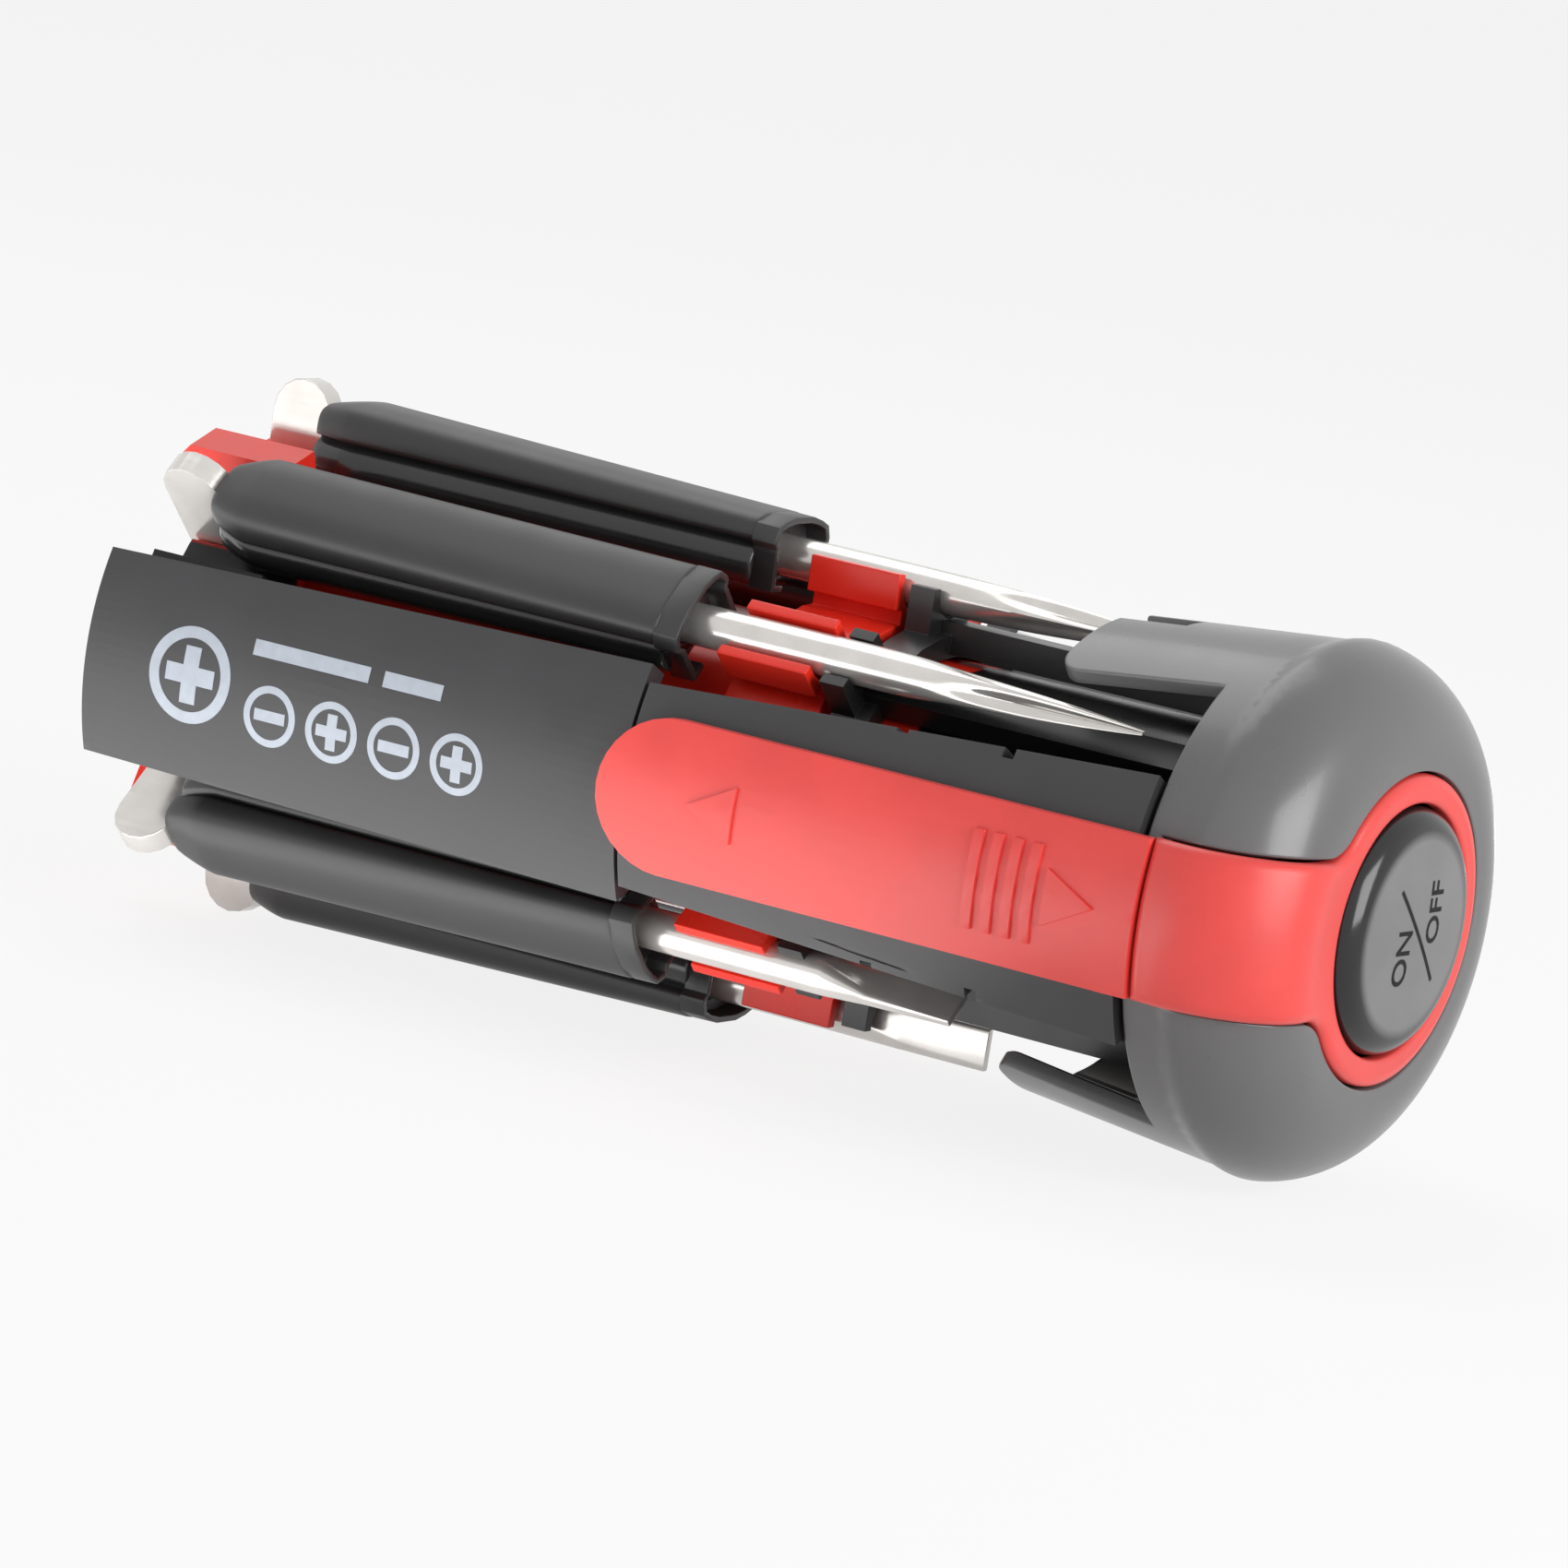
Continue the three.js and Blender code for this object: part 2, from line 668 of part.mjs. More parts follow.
function rearStrip(holdsSlider) {
  const shell = loft([
    shellSection(stripFront, waistRadius, stripFrontSpread),
    shellSection(stripRear, waistRadius, stripRearSpread),
  ]);
  const wallFront = stripFront + stripWallSetback;
  const stemSlot = box([stemFront - lockTravel - flipClearance, stemRear + flipClearance],
    wide(stemWidth + 2 * flipClearance), [ribFoot, bodyRadius]);
  const notches = stripNotchPlaces.map((place) => box(
    [wallFront + place, wallFront + place + stripNotchWidth], wide(4 * bodyRadius),
    [waistRadius - shellThickness - stripNotchDepth, waistRadius - shellThickness]));
  const cutters = holdsSlider ? [stemSlot, ...notches] : notches;
  return cut(joined(shell, ...ribPair(wallFront, stripRear, stripWallAngle)), ...cutters);
}

// Slider: a round-nosed shell with raised arrows and grip ribs, on a stem that reaches the lock ring
function slider() {
  const half = sliderWidth / 2;
  const outline = new THREE.Shape();
  outline.moveTo(sliderRear, -half);
  outline.lineTo(sliderRear, half);
  outline.lineTo(sliderFront + half, half);
  outline.absarc(sliderFront + half, 0, half, Math.PI / 2, 3 * Math.PI / 2, false);
  const plate = shared(
    outwards(outline, sliderBore / 2, 2 * bodyRadius),
    tube(sliderBore, sliderRadius, sliderFront - overcut, sliderRear + overcut),
  );
  const arrow = (tip, way) => polygon(way > 0
    ? [[tip - arrowLength, -arrowHalfWidth], [tip, 0], [tip - arrowLength, arrowHalfWidth]]
    : [[tip + arrowLength, arrowHalfWidth], [tip, 0], [tip + arrowLength, -arrowHalfWidth]]);
  const gripStart = sliderRear - gripSetback;
  const gripEnd = gripStart + gripRibs * gripPitch;
  const marks = [arrow(sliderFront + frontArrowPlace, -1), arrow(gripEnd + arrowLength, 1)];
  for (let k = 0; k < gripRibs; k += 1) {
    const start = gripStart + k * gripPitch;
    const end = start + gripRibLength;
    const halfGrip = gripWidth / 2;
    marks.push(polygon([[start, -halfGrip], [end, -halfGrip], [end, halfGrip], [start, halfGrip]]));
  }
  const proud = tube(sliderRadius - seatGap, sliderRadius + sliderEmboss, sliderFront, sliderRear);
  const raised = marks.map((mark) => shared(outwards(mark, sliderBore / 2, 2 * bodyRadius), proud));
  const stemTop = sliderBore + sliderThickness / 2;
  const stem = box([stemFront, stemRear], wide(stemWidth), [ringRadius + seatGap, stemTop]);
  return joined(plate, ...raised, stem);
}

Object.entries(sides).forEach(([side, angle]) => {
  add(`side_panel_${side}`, sidePanel(), finishes.black, angle);
  add(`rear_strip_${side}`, rearStrip(side === 'left'), finishes.black, angle);
});
add('slider', slider(), finishes.red, sides.left);

// Lock ring: one saddle behind each sleeve, open outwards for the rod, shaped to fit the sleeve's hollow end
function saddle() {
  const inset = sleeveWall + saddleGap;
  const crown = driverRadius + saddleRise;
  const foot = sleeveFoot + inset;
  const halfTop = sleeveTopWidth / 2 - inset - sleeveLedgeStep;
  const halfFoot = sleeveFootWidth / 2 - inset;
  const section = polygon([[-halfFoot, foot], [halfFoot, foot], [halfTop, crown], [-halfTop, crown]]);
  const rear = saddleFront + saddleLength;
  const block = joined(
    alongAxis(section, saddleFront, rear),
    box([saddleFront, rear], wide(saddleNeck), [ringRadius - ringWall / 2, foot + seatGap]),
  );
  const channel = rodDiameter / 2 + bitGap;
  const ends = [saddleFront - overcut, rear + overcut];
  return cut(block,
    bar(channel, ...ends, rodSides).translate(0, 0, driverRadius),
    box(ends, wide(2 * channel), [driverRadius, bodyRadius]));
}

const saddleBody = saddle();
add('lock_ring', joined(
  tube(ringBore, ringRadius, ringFront, ringRear, tubeSides),
  ...driverAngles.map((angle) => turned(saddleBody, angle)),
), finishes.red);

// Bit rack: a ring with a pair of clips for each rod, and a rail under it back to the cap
function bitRack() {
  const rackBore = tubeRadius + seatGap;
  const railTop = driverRadius - rodDiameter / 2 - bitGap;
  const railFoot = rackBore + seatGap;
  const rail = box([rackFront + rackRingLength / 2, tubeRear], wide(railWidth), [railFoot, railTop]);
  const channel = rodDiameter / 2 + bitGap;
  const clipRear = rackFront + clipLength;
  const ends = [rackFront - overcut, clipRear + overcut];
  const clips = cut(
    box([rackFront, clipRear], wide(2 * (channel + clipWall)), [railFoot, driverRadius + clipRise]),
    bar(channel, ...ends, rodSides).translate(0, 0, driverRadius),
    box(ends, wide(2 * channel), [driverRadius, bodyRadius]),
  );
  return joined(
    tube(rackBore, rackBore + rackRingWall, rackFront, rackFront + rackRingLength, tubeSides),
    ...driverAngles.flatMap((angle) => [turned(rail, angle), turned(clips, angle)]),
  );
}

add('bit_rack', bitRack(), finishes.black);

// Rear cap: a hollow dome on a bulkhead, with slotted tabs that cover the middle bits from above and below
function domeOutline(offset) {
  return Array.from({ length: domeSteps + 1 }, (_, k) => {
    const turn = (k / domeSteps) * Math.PI / 2;
    return [
      capRadius - domeFillet + (domeFillet + offset) * Math.cos(turn),
      domeStart + (domeDepth + offset) * Math.sin(turn),
    ];
  });
}

// The cap widens from the tabs to the dome
const capAt = (station) => capRadius - capTaper * (domeStart - station);

const domeSolid = (offset, front) => revolved([
  [0, front], [capAt(front) + offset, front], ...domeOutline(offset), [0, domeEnd + offset]]);

// The trim's outline along the axis: a ring round the button and a leg to the slider, with hollow fillets
function trimShape(extra) {
  const half = sliderWidth / 2 + extra;
  const ring = trimRadius + extra;
  const fillet = trimFillet - extra;
  const reach = Math.sqrt((ring + fillet) ** 2 - (half + fillet) ** 2);
  const lean = Math.atan2(half + fillet, reach);
  const far = capRadius + 2 * trimFillet;
  const shape = new THREE.Shape();
  shape.moveTo(-far, -half);
  shape.lineTo(-reach, -half);
  shape.absarc(-reach, -half - fillet, fillet, Math.PI / 2, lean, true);
  shape.absarc(0, 0, ring, lean - Math.PI, Math.PI - lean, false);
  shape.absarc(-reach, half + fillet, fillet, -lean, -Math.PI / 2, true);
  shape.lineTo(-far, half);
  return shape;
}

const buttonHole = buttonRadius + seatGap;

function rearCap() {
  const inner = domeOutline(-capWall);
  const bulkheadRear = capFace + bulkheadThickness;
  const dome = revolved([
    [switchRadius + seatGap, capFace],
    [capAt(capFace), capFace],
    ...domeOutline(0),
    [buttonHole, domeEnd],
    [buttonHole, domeEnd - capWall],
    ...inner.reverse(),
    [capAt(bulkheadRear) - capWall, bulkheadRear],
    [switchRadius + seatGap, bulkheadRear],
    [switchRadius + seatGap, capFace],
  ]);
  const halfTab = capRadius * Math.sin(tabSpread * degrees);
  const tabOutline = new THREE.Shape();
  tabOutline.moveTo(domeStart, -halfTab);
  tabOutline.lineTo(domeStart, halfTab);
  tabOutline.lineTo(tabFront + tabCorner, halfTab);
  tabOutline.absarc(tabFront + tabCorner, halfTab - tabCorner, tabCorner, Math.PI / 2, Math.PI, false);
  tabOutline.absarc(tabFront + tabCorner, tabCorner - halfTab, tabCorner, Math.PI, 3 * Math.PI / 2, false);
  const tab = shared(
    outwards(tabOutline, capRadius / 2, 2 * capRadius),
    revolved([
      [capAt(tabFront) - capWall, tabFront],
      [capAt(tabFront), tabFront],
      [capRadius, domeStart],
      [capRadius - capWall, domeStart],
      [capAt(tabFront) - capWall, tabFront],
    ]),
  );
  const longest = sleeveRear + Math.max(...driverTips.map((driver) => driver.reach));
  const slotEnds = [tabFront - overcut, longest + flipClearance];
  const slot = box(slotEnds, wide(tabSlotWidth), [tubeRadius, 2 * capRadius]);
  const underTab = (angle) => Math.abs(Math.cos(angle * degrees)) < Math.sin(tabSpread * degrees);
  const tabAngles = driverAngles.filter(underTab);
  const recess = shared(
    alongAxis(trimShape(seatGap), trimFront - seatGap, domeEnd + domeDepth),
    cut(domeSolid(domeFillet, capFace), domeSolid(-trimDepth - seatGap, capFace - overcut)),
  );
  return cut(
    joined(dome, turned(tab, 90), turned(tab, 270)),
    ...tabAngles.map((angle) => turned(slot, angle)),
    recess,
  );
}

add('rear_cap', rearCap(), finishes.glossBlack);

add('trim_bridge', shared(
  alongAxis(trimShape(0), trimFront, domeEnd + domeDepth),
  cut(
    domeSolid(trimProud, capFace),
    domeSolid(-trimDepth, capFace - overcut),
    bar(buttonHole, capFace, domeEnd + domeDepth),
  ),
), finishes.red);

// Power button on its spring, over the switch that stands in the bulkhead
const plungerFront = switchRear + buttonTravel + seatGap;
const crown = Array.from({ length: arcSteps + 1 }, (_, k) => {
  const share = 1 - k / arcSteps;
  return [(buttonRadius - buttonEdge) * share, buttonTop - buttonDome * share * share];
});
add('power_button', revolved([
  [0, plungerFront],
  [buttonPlungerRadius, plungerFront],
  [buttonPlungerRadius, buttonFlangeFront],
  [buttonRadius + buttonFlange, buttonFlangeFront],
  [buttonRadius + buttonFlange, buttonFlangeFront + buttonFlangeThickness],
  [buttonRadius, buttonFlangeFront + buttonFlangeThickness],
  [buttonRadius, buttonTop - buttonDome - buttonEdge],
  ...crown,
], tubeSides), finishes.glossBlack);

add('switch_body', bar(switchRadius, switchRear - switchLength, switchRear, tubeSides), finishes.black);

class SpringPath extends THREE.Curve {
  getPoint(share, target = new THREE.Vector3()) {
    const turn = share * springTurns * 2 * Math.PI;
    const seat = springWire / 2 + seatGap / 2;
    const length = buttonFlangeFront - switchRear - 2 * seat;
    return target.set(
      switchRear + seat + length * share, springRadius * Math.cos(turn), springRadius * Math.sin(turn));
  }
}

const wireSection = polygon(Array.from({ length: wireSides }, (_, k) => {
  const turn = (k / wireSides) * 2 * Math.PI;
  return [springWire / 2 * Math.cos(turn), springWire / 2 * Math.sin(turn)];
}));
add('button_spring', new THREE.ExtrudeGeometry(wireSection, {
  extrudePath: new SpringPath(), steps: springTurns * springStepsPerTurn, bevelEnabled: false,
}), finishes.spring);

// Set the origin at the middle of the box that the tool fills, on the surface that it lies on
const bounds = new THREE.Box3().setFromObject(tool, true);
const middle = bounds.getCenter(new THREE.Vector3());
tool.position.set(-middle.x, -middle.y, -bounds.min.z);

export default tool;
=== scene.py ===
"""Dressed model of a folding multi-bit screwdriver with a torch.

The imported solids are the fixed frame. Each sub-assembly below copies its solids and rounds their
edges, or works out a curved skin in their place, and gives them moulded plastic, plated steel or
printed ink. Lengths are in metres, and MM turns millimetres into metres.
"""

import json
import logging
import math
from dataclasses import dataclass, field
from enum import Enum
from typing import Callable, Iterable, Optional

import bmesh
import bpy
from bmesh.types import BMesh, BMVert
from bpy.types import Material, Mesh, NodeSocket, NodeTree, Object
from mathutils import Matrix, Vector
from mathutils.geometry import delaunay_2d_cdt
from mathutils.kdtree import KDTree


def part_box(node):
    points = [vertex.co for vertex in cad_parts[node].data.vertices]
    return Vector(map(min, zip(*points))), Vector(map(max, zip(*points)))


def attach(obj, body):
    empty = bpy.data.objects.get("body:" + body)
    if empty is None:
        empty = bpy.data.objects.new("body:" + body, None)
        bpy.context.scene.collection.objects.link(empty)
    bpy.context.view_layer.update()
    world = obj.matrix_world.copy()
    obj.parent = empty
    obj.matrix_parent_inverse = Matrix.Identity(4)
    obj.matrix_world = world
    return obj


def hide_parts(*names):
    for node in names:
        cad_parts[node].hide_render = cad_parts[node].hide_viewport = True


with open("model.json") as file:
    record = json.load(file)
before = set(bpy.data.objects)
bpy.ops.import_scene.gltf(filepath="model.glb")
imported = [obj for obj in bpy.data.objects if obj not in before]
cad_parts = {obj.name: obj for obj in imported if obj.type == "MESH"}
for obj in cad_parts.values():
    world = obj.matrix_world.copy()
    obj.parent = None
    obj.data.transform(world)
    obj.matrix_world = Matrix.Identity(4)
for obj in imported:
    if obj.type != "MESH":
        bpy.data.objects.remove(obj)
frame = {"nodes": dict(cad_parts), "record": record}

MM = 0.001
SKIN = "skin_normal"
log = logging.getLogger("screwdriver")

Triple = tuple[float, float, float]
Colour = Triple
Pairs = tuple[tuple[float, float], ...]
Settle = Callable[[Vector], Vector]
Height = Callable[[Vector], float]
Loop = list[Vector]

# Points nearer than this are one point, in a solid's copy and after a cut.
WELD = 0.01 * MM
FINE_WELD = 0.001 * MM
# Neighbouring faces that turn less than this, in degrees, are one flat area.
FLAT_TURN = 0.4
# Stands in for a radius of zero in a division.
LEAST_RADIUS = 1e-9
# Shape of a rounded edge: a part of a circle.
ROUND_PROFILE = 0.5
# Faces with more corners than this are split after a refinement.
MOST_CORNERS = 4
# Kind of filling that gives whole faces; the hole is taken out afterwards.
FILL_KIND = 4
# Range that most of a noise pattern lies in.
NOISE_LOW = 0.3
NOISE_HIGH = 0.7
WHITE = (1.0, 1.0, 1.0, 1.0)


class Side(Enum):
    """The two flanks of the tool, named as seen from the button."""

    LEFT = "left"
    RIGHT = "right"


class ScrewHead(Enum):
    """Screw recesses that the printed signs show."""

    SLOT = "slot"
    CROSS = "cross"


class Reach(Enum):
    """Axes along which a finish measures a point's distance from the axis at the panels' front."""

    ALONG = (1.0, 0.0, 0.0)
    ACROSS = (0.0, 1.0, 0.0)
    OUT = (0.0, 1.0, 1.0)


class Axis:
    """The tool's long axis and the stations along it."""

    def __init__(self) -> None:
        """Reads the axis from the battery tube and station zero from the side panel."""
        low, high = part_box("battery_tube")
        self.y: float = (low.y + high.y) / 2
        self.z: float = (low.z + high.z) / 2
        self.panel_front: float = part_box("side_panel_left")[0].x

    def point(self, station: float, radius: float, angle: float) -> Vector:
        """Gives a point from cylinder co-ordinates.

        Args:
            station: distance behind the front of the side panels.
            radius: distance from the axis.
            angle: turn in degrees from the left flank towards the top.

        Returns:
            The point in the shared frame.
        """
        turn = math.radians(angle)
        return Vector((
            self.panel_front + station,
            self.y - radius * math.cos(turn),
            self.z + radius * math.sin(turn),
        ))

    def radius_of(self, point: Vector) -> float:
        """Gives a point's distance from the axis."""
        return math.hypot(point.y - self.y, point.z - self.z)

    def with_radius(self, point: Vector, radius: float) -> Vector:
        """Gives the point moved along its own radius.

        Args:
            point: any point off the axis.
            radius: the wanted distance from the axis.

        Returns:
            The moved point.
        """
        share = radius / max(self.radius_of(point), LEAST_RADIUS)
        return Vector((
            point.x,
            self.y + (point.y - self.y) * share,
            self.z + (point.z - self.z) * share,
        ))

    def settled(self, point: Vector, radius: float, tolerance: float) -> Vector:
        """Gives the point moved to a round skin's radius, or the same point where it isn't near it."""
        near = abs(self.radius_of(point) - radius) < tolerance
        return self.with_radius(point, radius) if near else point


AXIS = Axis()


def spaced(start: float, end: float, count: int) -> list[float]:
    """Gives evenly spaced values from start to end, one more than the count of steps."""
    return [start + (end - start) * index / count for index in range(count + 1)]


def eased(share: float) -> float:
    """Gives a share that starts and ends gently, held between zero and one."""
    held = min(1.0, max(0.0, share))
    return held * held * (3 - 2 * held)


class NodeDesk:
    """Adds and joins the shader nodes of one material."""

    def __init__(self, name: str) -> None:
        """Starts a material with one principled shader.

        Args:
            name: the material's name.
        """
        self.material = bpy.data.materials.new(name)
        self.material.use_nodes = True
        self.tree = self.material.node_tree
        self.tree.nodes.clear()
        self.output = self.tree.nodes.new("ShaderNodeOutputMaterial")
        self.shader = self.tree.nodes.new("ShaderNodeBsdfPrincipled")
        self.join(self.shader.outputs["BSDF"], self.output.inputs["Surface"])
        self.place = self.tree.nodes.new("ShaderNodeTexCoord").outputs["Object"]

    def join(self, source: NodeSocket, target: NodeSocket) -> None:
        """Links one socket to another."""
        self.tree.links.new(source, target)

    def stretched(self, scale: Triple) -> NodeSocket:
        """Gives the piece's own co-ordinates, scaled by axis.

        Args:
            scale: factor along x, y and z.

        Returns:
            The vector socket.
        """
        mapping = self.tree.nodes.new("ShaderNodeMapping")
        mapping.inputs["Scale"].default_value = scale
        self.join(self.place, mapping.inputs["Vector"])
        return mapping.outputs["Vector"]

    def noise(self, place: NodeSocket, scale: float, detail: float = 3.0) -> NodeSocket:
        """Adds a noise pattern.

        Args:
            place: the vector socket that carries it.
            scale: spots to a metre.
            detail: how many finer layers it has.

        Returns:
            The pattern's value socket.
        """
        pattern = self.tree.nodes.new("ShaderNodeTexNoise")
        pattern.inputs["Scale"].default_value = scale
        pattern.inputs["Detail"].default_value = detail
        self.join(place, pattern.inputs["Vector"])
        return pattern.outputs["Fac"]

    def spread(self, value: NodeSocket, low: float, high: float,
               start: float = NOISE_LOW, end: float = NOISE_HIGH) -> NodeSocket:
        """Maps a value from one range to another.

        Args:
            value: the socket to map.
            low: the result at the start of the range.
            high: the result at its end.
            start: where the range starts.
            end: where the range ends.

        Returns:
            The mapped value socket.
        """
        span = self.tree.nodes.new("ShaderNodeMapRange")
        span.inputs["From Min"].default_value = start
        span.inputs["From Max"].default_value = end
        span.inputs["To Min"].default_value = low
        span.inputs["To Max"].default_value = high
        self.join(value, span.inputs["Value"])
        return span.outputs["Result"]

    def varied(self, pattern: NodeSocket, middle: float, share: float) -> NodeSocket:
        """Lets a value follow a pattern, by a share of its middle to each side."""
        return self.spread(pattern, middle * (1 - share), middle * (1 + share))

    def tint(self, colour: NodeSocket) -> None:
        """Gives the shader its colour."""
        self.join(colour, self.shader.inputs["Base Color"])

    def roughen(self, value: NodeSocket) -> None:
        """Gives the shader its roughness."""
        self.join(value, self.shader.inputs["Roughness"])

    def feed(self, target: NodeSocket, colour: "Colour | NodeSocket") -> None:
        """Gives a colour input a fixed colour or another node's colour.

        Args:
            target: the input.
            colour: a linear colour or a colour socket.
        """
        if isinstance(colour, tuple):
            target.default_value = (*colour, 1.0)
        else:
            self.join(colour, target)

    def mixed(self, share: NodeSocket, first: "Colour | NodeSocket",
              second: "Colour | NodeSocket") -> NodeSocket:
        """Mixes two colours by a share.

        Args:
            share: the socket that runs from the first colour to the second.
            first: colour at zero.
            second: colour at one.

        Returns:
            The colour socket.
        """
        mix = self.tree.nodes.new("ShaderNodeMix")
        mix.data_type = "RGBA"
        self.feed(mix.inputs["A"], first)
        self.feed(mix.inputs["B"], second)
        self.join(share, mix.inputs["Factor"])
        return mix.outputs["Result"]

    def blended(self, share: NodeSocket, first: NodeSocket,
                second: NodeSocket) -> NodeSocket:
        """Mixes two values by a share.

        Args:
            share: the socket that runs from the first value to the second.
            first: the value at zero.
            second: the value at one.

        Returns:
            The value socket.
        """
        mix = self.tree.nodes.new("ShaderNodeMix")
        self.join(share, mix.inputs["Factor"])
        self.join(first, mix.inputs["A"])
        self.join(second, mix.inputs["B"])
        return mix.outputs["Result"]

    def bump(self, height: NodeSocket, strength: float, depth: float) -> None:
        """Raises the surface by a pattern.

        Args:
            height: the pattern's socket.
            strength: share of the full relief.
            depth: the relief's height.
        """
        relief = self.tree.nodes.new("ShaderNodeBump")
        relief.inputs["Strength"].default_value = strength
        relief.inputs["Distance"].default_value = depth
        self.join(height, relief.inputs["Height"])
        self.join(relief.outputs["Normal"], self.shader.inputs["Normal"])

    def set(self, **values: float) -> None:
        """Sets constants on the shader's own sockets; an underscore stands for a space."""
        for name, value in values.items():
            self.shader.inputs[name.replace("_", " ")].default_value = value

    def reach(self, way: Reach) -> NodeSocket:
        """Gives a point's distance at rest from the tool's axis at the panels' front.

        Args:
            way: the axes that count.

        Returns:
            The distance socket.
        """
        value = self.place
        for operation, other in (("SUBTRACT", AXIS.point(0.0, 0.0, 0.0)), ("MULTIPLY", way.value)):
            node = self.tree.nodes.new("ShaderNodeVectorMath")
            node.operation = operation
            node.inputs[1].default_value = other
            self.join(value, node.inputs[0])
            value = node.outputs["Vector"]
        length = self.tree.nodes.new("ShaderNodeVectorMath")
        length.operation = "LENGTH"
        self.join(value, length.inputs[0])
        return length.outputs["Value"]


@dataclass(frozen=True)
class MouldedPlastic:
    """Moulded plastic with a fine grain and slight mottling."""

    name: str
    colour: Colour
    roughness: float
    uneven: float = 0.12
    cloud_spots: float = 140.0
    grain_spots: float = 2600.0
    grain_detail: float = 2.0
    grain_depth: float = 0.03 * MM
    grain_strength: float = 0.25
    mottling: float = 0.1
    specular: float = 0.5
    coat: float = 0.0
    coat_roughness: float = 0.08

    def build(self) -> Material:
        """Makes the material."""
        desk = NodeDesk(self.name)
        cloudy = desk.noise(desk.place, self.cloud_spots)
        desk.tint(self.paint(desk, cloudy))
        desk.roughen(self.polish(desk, cloudy))
        grain = desk.noise(desk.place, self.grain_spots, self.grain_detail)
        desk.bump(grain, self.grain_strength, self.grain_depth)
        desk.set(Specular_IOR_Level=self.specular, Coat_Weight=self.coat,
                 Coat_Roughness=self.coat_roughness)
        return desk.material

    def paint(self, desk: NodeDesk, cloudy: NodeSocket) -> NodeSocket:
        """Mottles the colour a little to both sides.

        Args:
            desk: the material's nodes.
            cloudy: the mottling pattern.

        Returns:
            The colour socket.
        """
        darker = tuple(part * (1 - self.mottling) for part in self.colour)
        lighter = tuple(min(1.0, part * (1 + self.mottling)) for part in self.colour)
        return desk.mixed(desk.spread(cloudy, 0.0, 1.0), darker, lighter)

    def polish(self, desk: NodeDesk, cloudy: NodeSocket) -> NodeSocket:
        """Gives a roughness that follows the mottling."""
        return desk.varied(cloudy, self.roughness, self.uneven)


@dataclass(frozen=True)
class ZonedPlastic(MouldedPlastic):
    """Plastic with a second zone that has its own roughness, or its own colour painted there as shade.
    """

    way: Reach = Reach.OUT
    zone_start: float = 0.0
    border: float = 0.2 * MM
    # Colour painted into the zone as shade; on the button it stands for a dark reflection.
    painted_shade_colour: Optional[Colour] = None
    zone_roughness: Optional[float] = None
    zone_uneven: float = 0.2

    def zone(self, desk: NodeDesk) -> NodeSocket:
        """Gives zero before the zone and one inside it."""
        start, end = self.zone_start - self.border, self.zone_start + self.border
        return desk.spread(desk.reach(self.way), 0.0, 1.0, start, end)

    def paint(self, desk: NodeDesk, cloudy: NodeSocket) -> NodeSocket:
        """Paints shade into the zone with its own colour, where it has one.

        Args:
            desk: the material's nodes.
            cloudy: the mottling pattern.

        Returns:
            The colour socket.
        """
        main = super().paint(desk, cloudy)
        if self.painted_shade_colour is None:
            return main
        return desk.mixed(self.zone(desk), main, self.painted_shade_colour)

    def polish(self, desk: NodeDesk, cloudy: NodeSocket) -> NodeSocket:
        """Gives the zone its roughness, where it has one.

        Args:
            desk: the material's nodes.
            cloudy: the mottling pattern.

        Returns:
            The roughness socket.
        """
        main = super().polish(desk, cloudy)
        if self.zone_roughness is None:
            return main
        other = desk.varied(cloudy, self.zone_roughness, self.zone_uneven)
        return desk.blended(self.zone(desk), main, other)


@dataclass(frozen=True)
class DrawnSteel:
    """Plated steel with fine lines along the tool."""

    name: str
    colour: Colour
    roughness: float
    line_stretch: Triple = (14.0, 1700.0, 1700.0)
    line_detail: float = 4.0
    line_depth: float = 0.01 * MM
    line_strength: float = 0.2
    smoothest: float = 0.7
    roughest: float = 1.4
    metallic: float = 1.0
    cloud_spots: float = 220.0
    shade: float = 0.86

    def build(self) -> Material:
        """Makes the material."""
        desk = NodeDesk(self.name)
        lines = desk.noise(desk.stretched(self.line_stretch), 1.0, self.line_detail)
        cloudy = desk.noise(desk.place, self.cloud_spots)
        darker = tuple(part * self.shade for part in self.colour)
        desk.tint(desk.mixed(desk.spread(cloudy, 0.0, 1.0), darker, self.colour))
        low, high = self.roughness * self.smoothest, self.roughness * self.roughest
        desk.roughen(desk.spread(lines, low, high))
        desk.bump(lines, self.line_strength, self.line_depth)
        desk.set(Metallic=self.metallic)
        return desk.material


@dataclass(frozen=True)
class ClearPlastic:
    """Clear window plastic with faint flow marks."""

    name: str
    colour: Colour
    flow_spots: float = 400.0
    smoothest: float = 0.03
    roughest: float = 0.1
    paler: float = 1.04
    clearness: float = 0.9
    refraction: float = 1.49

    def build(self) -> Material:
        """Makes the material."""
        desk = NodeDesk(self.name)
        flow = desk.noise(desk.place, self.flow_spots)
        desk.roughen(desk.spread(flow, self.smoothest, self.roughest))
        pale = tuple(min(1.0, part * self.paler) for part in self.colour)
        desk.tint(desk.mixed(flow, self.colour, pale))
        desk.set(Transmission_Weight=self.clearness, IOR=self.refraction)
        return desk.material


@dataclass(frozen=True)
class PrintedInk:
    """Printed ink that is thinner in small patches."""

    name: str
    colour: Colour
    roughness: float = 0.5
    patch_spots: float = 900.0
    thinning: float = 0.88
    smoothest: float = 0.85
    roughest: float = 1.1

    def build(self) -> Material:
        """Makes the material."""
        desk = NodeDesk(self.name)
        patches = desk.noise(desk.place, self.patch_spots)
        thinner = tuple(part * self.thinning for part in self.colour)
        desk.tint(desk.mixed(desk.spread(patches, 0.0, 1.0), thinner, self.colour))
        low, high = self.roughness * self.smoothest, self.roughness * self.roughest
        desk.roughen(desk.spread(patches, low, high))
        return desk.material


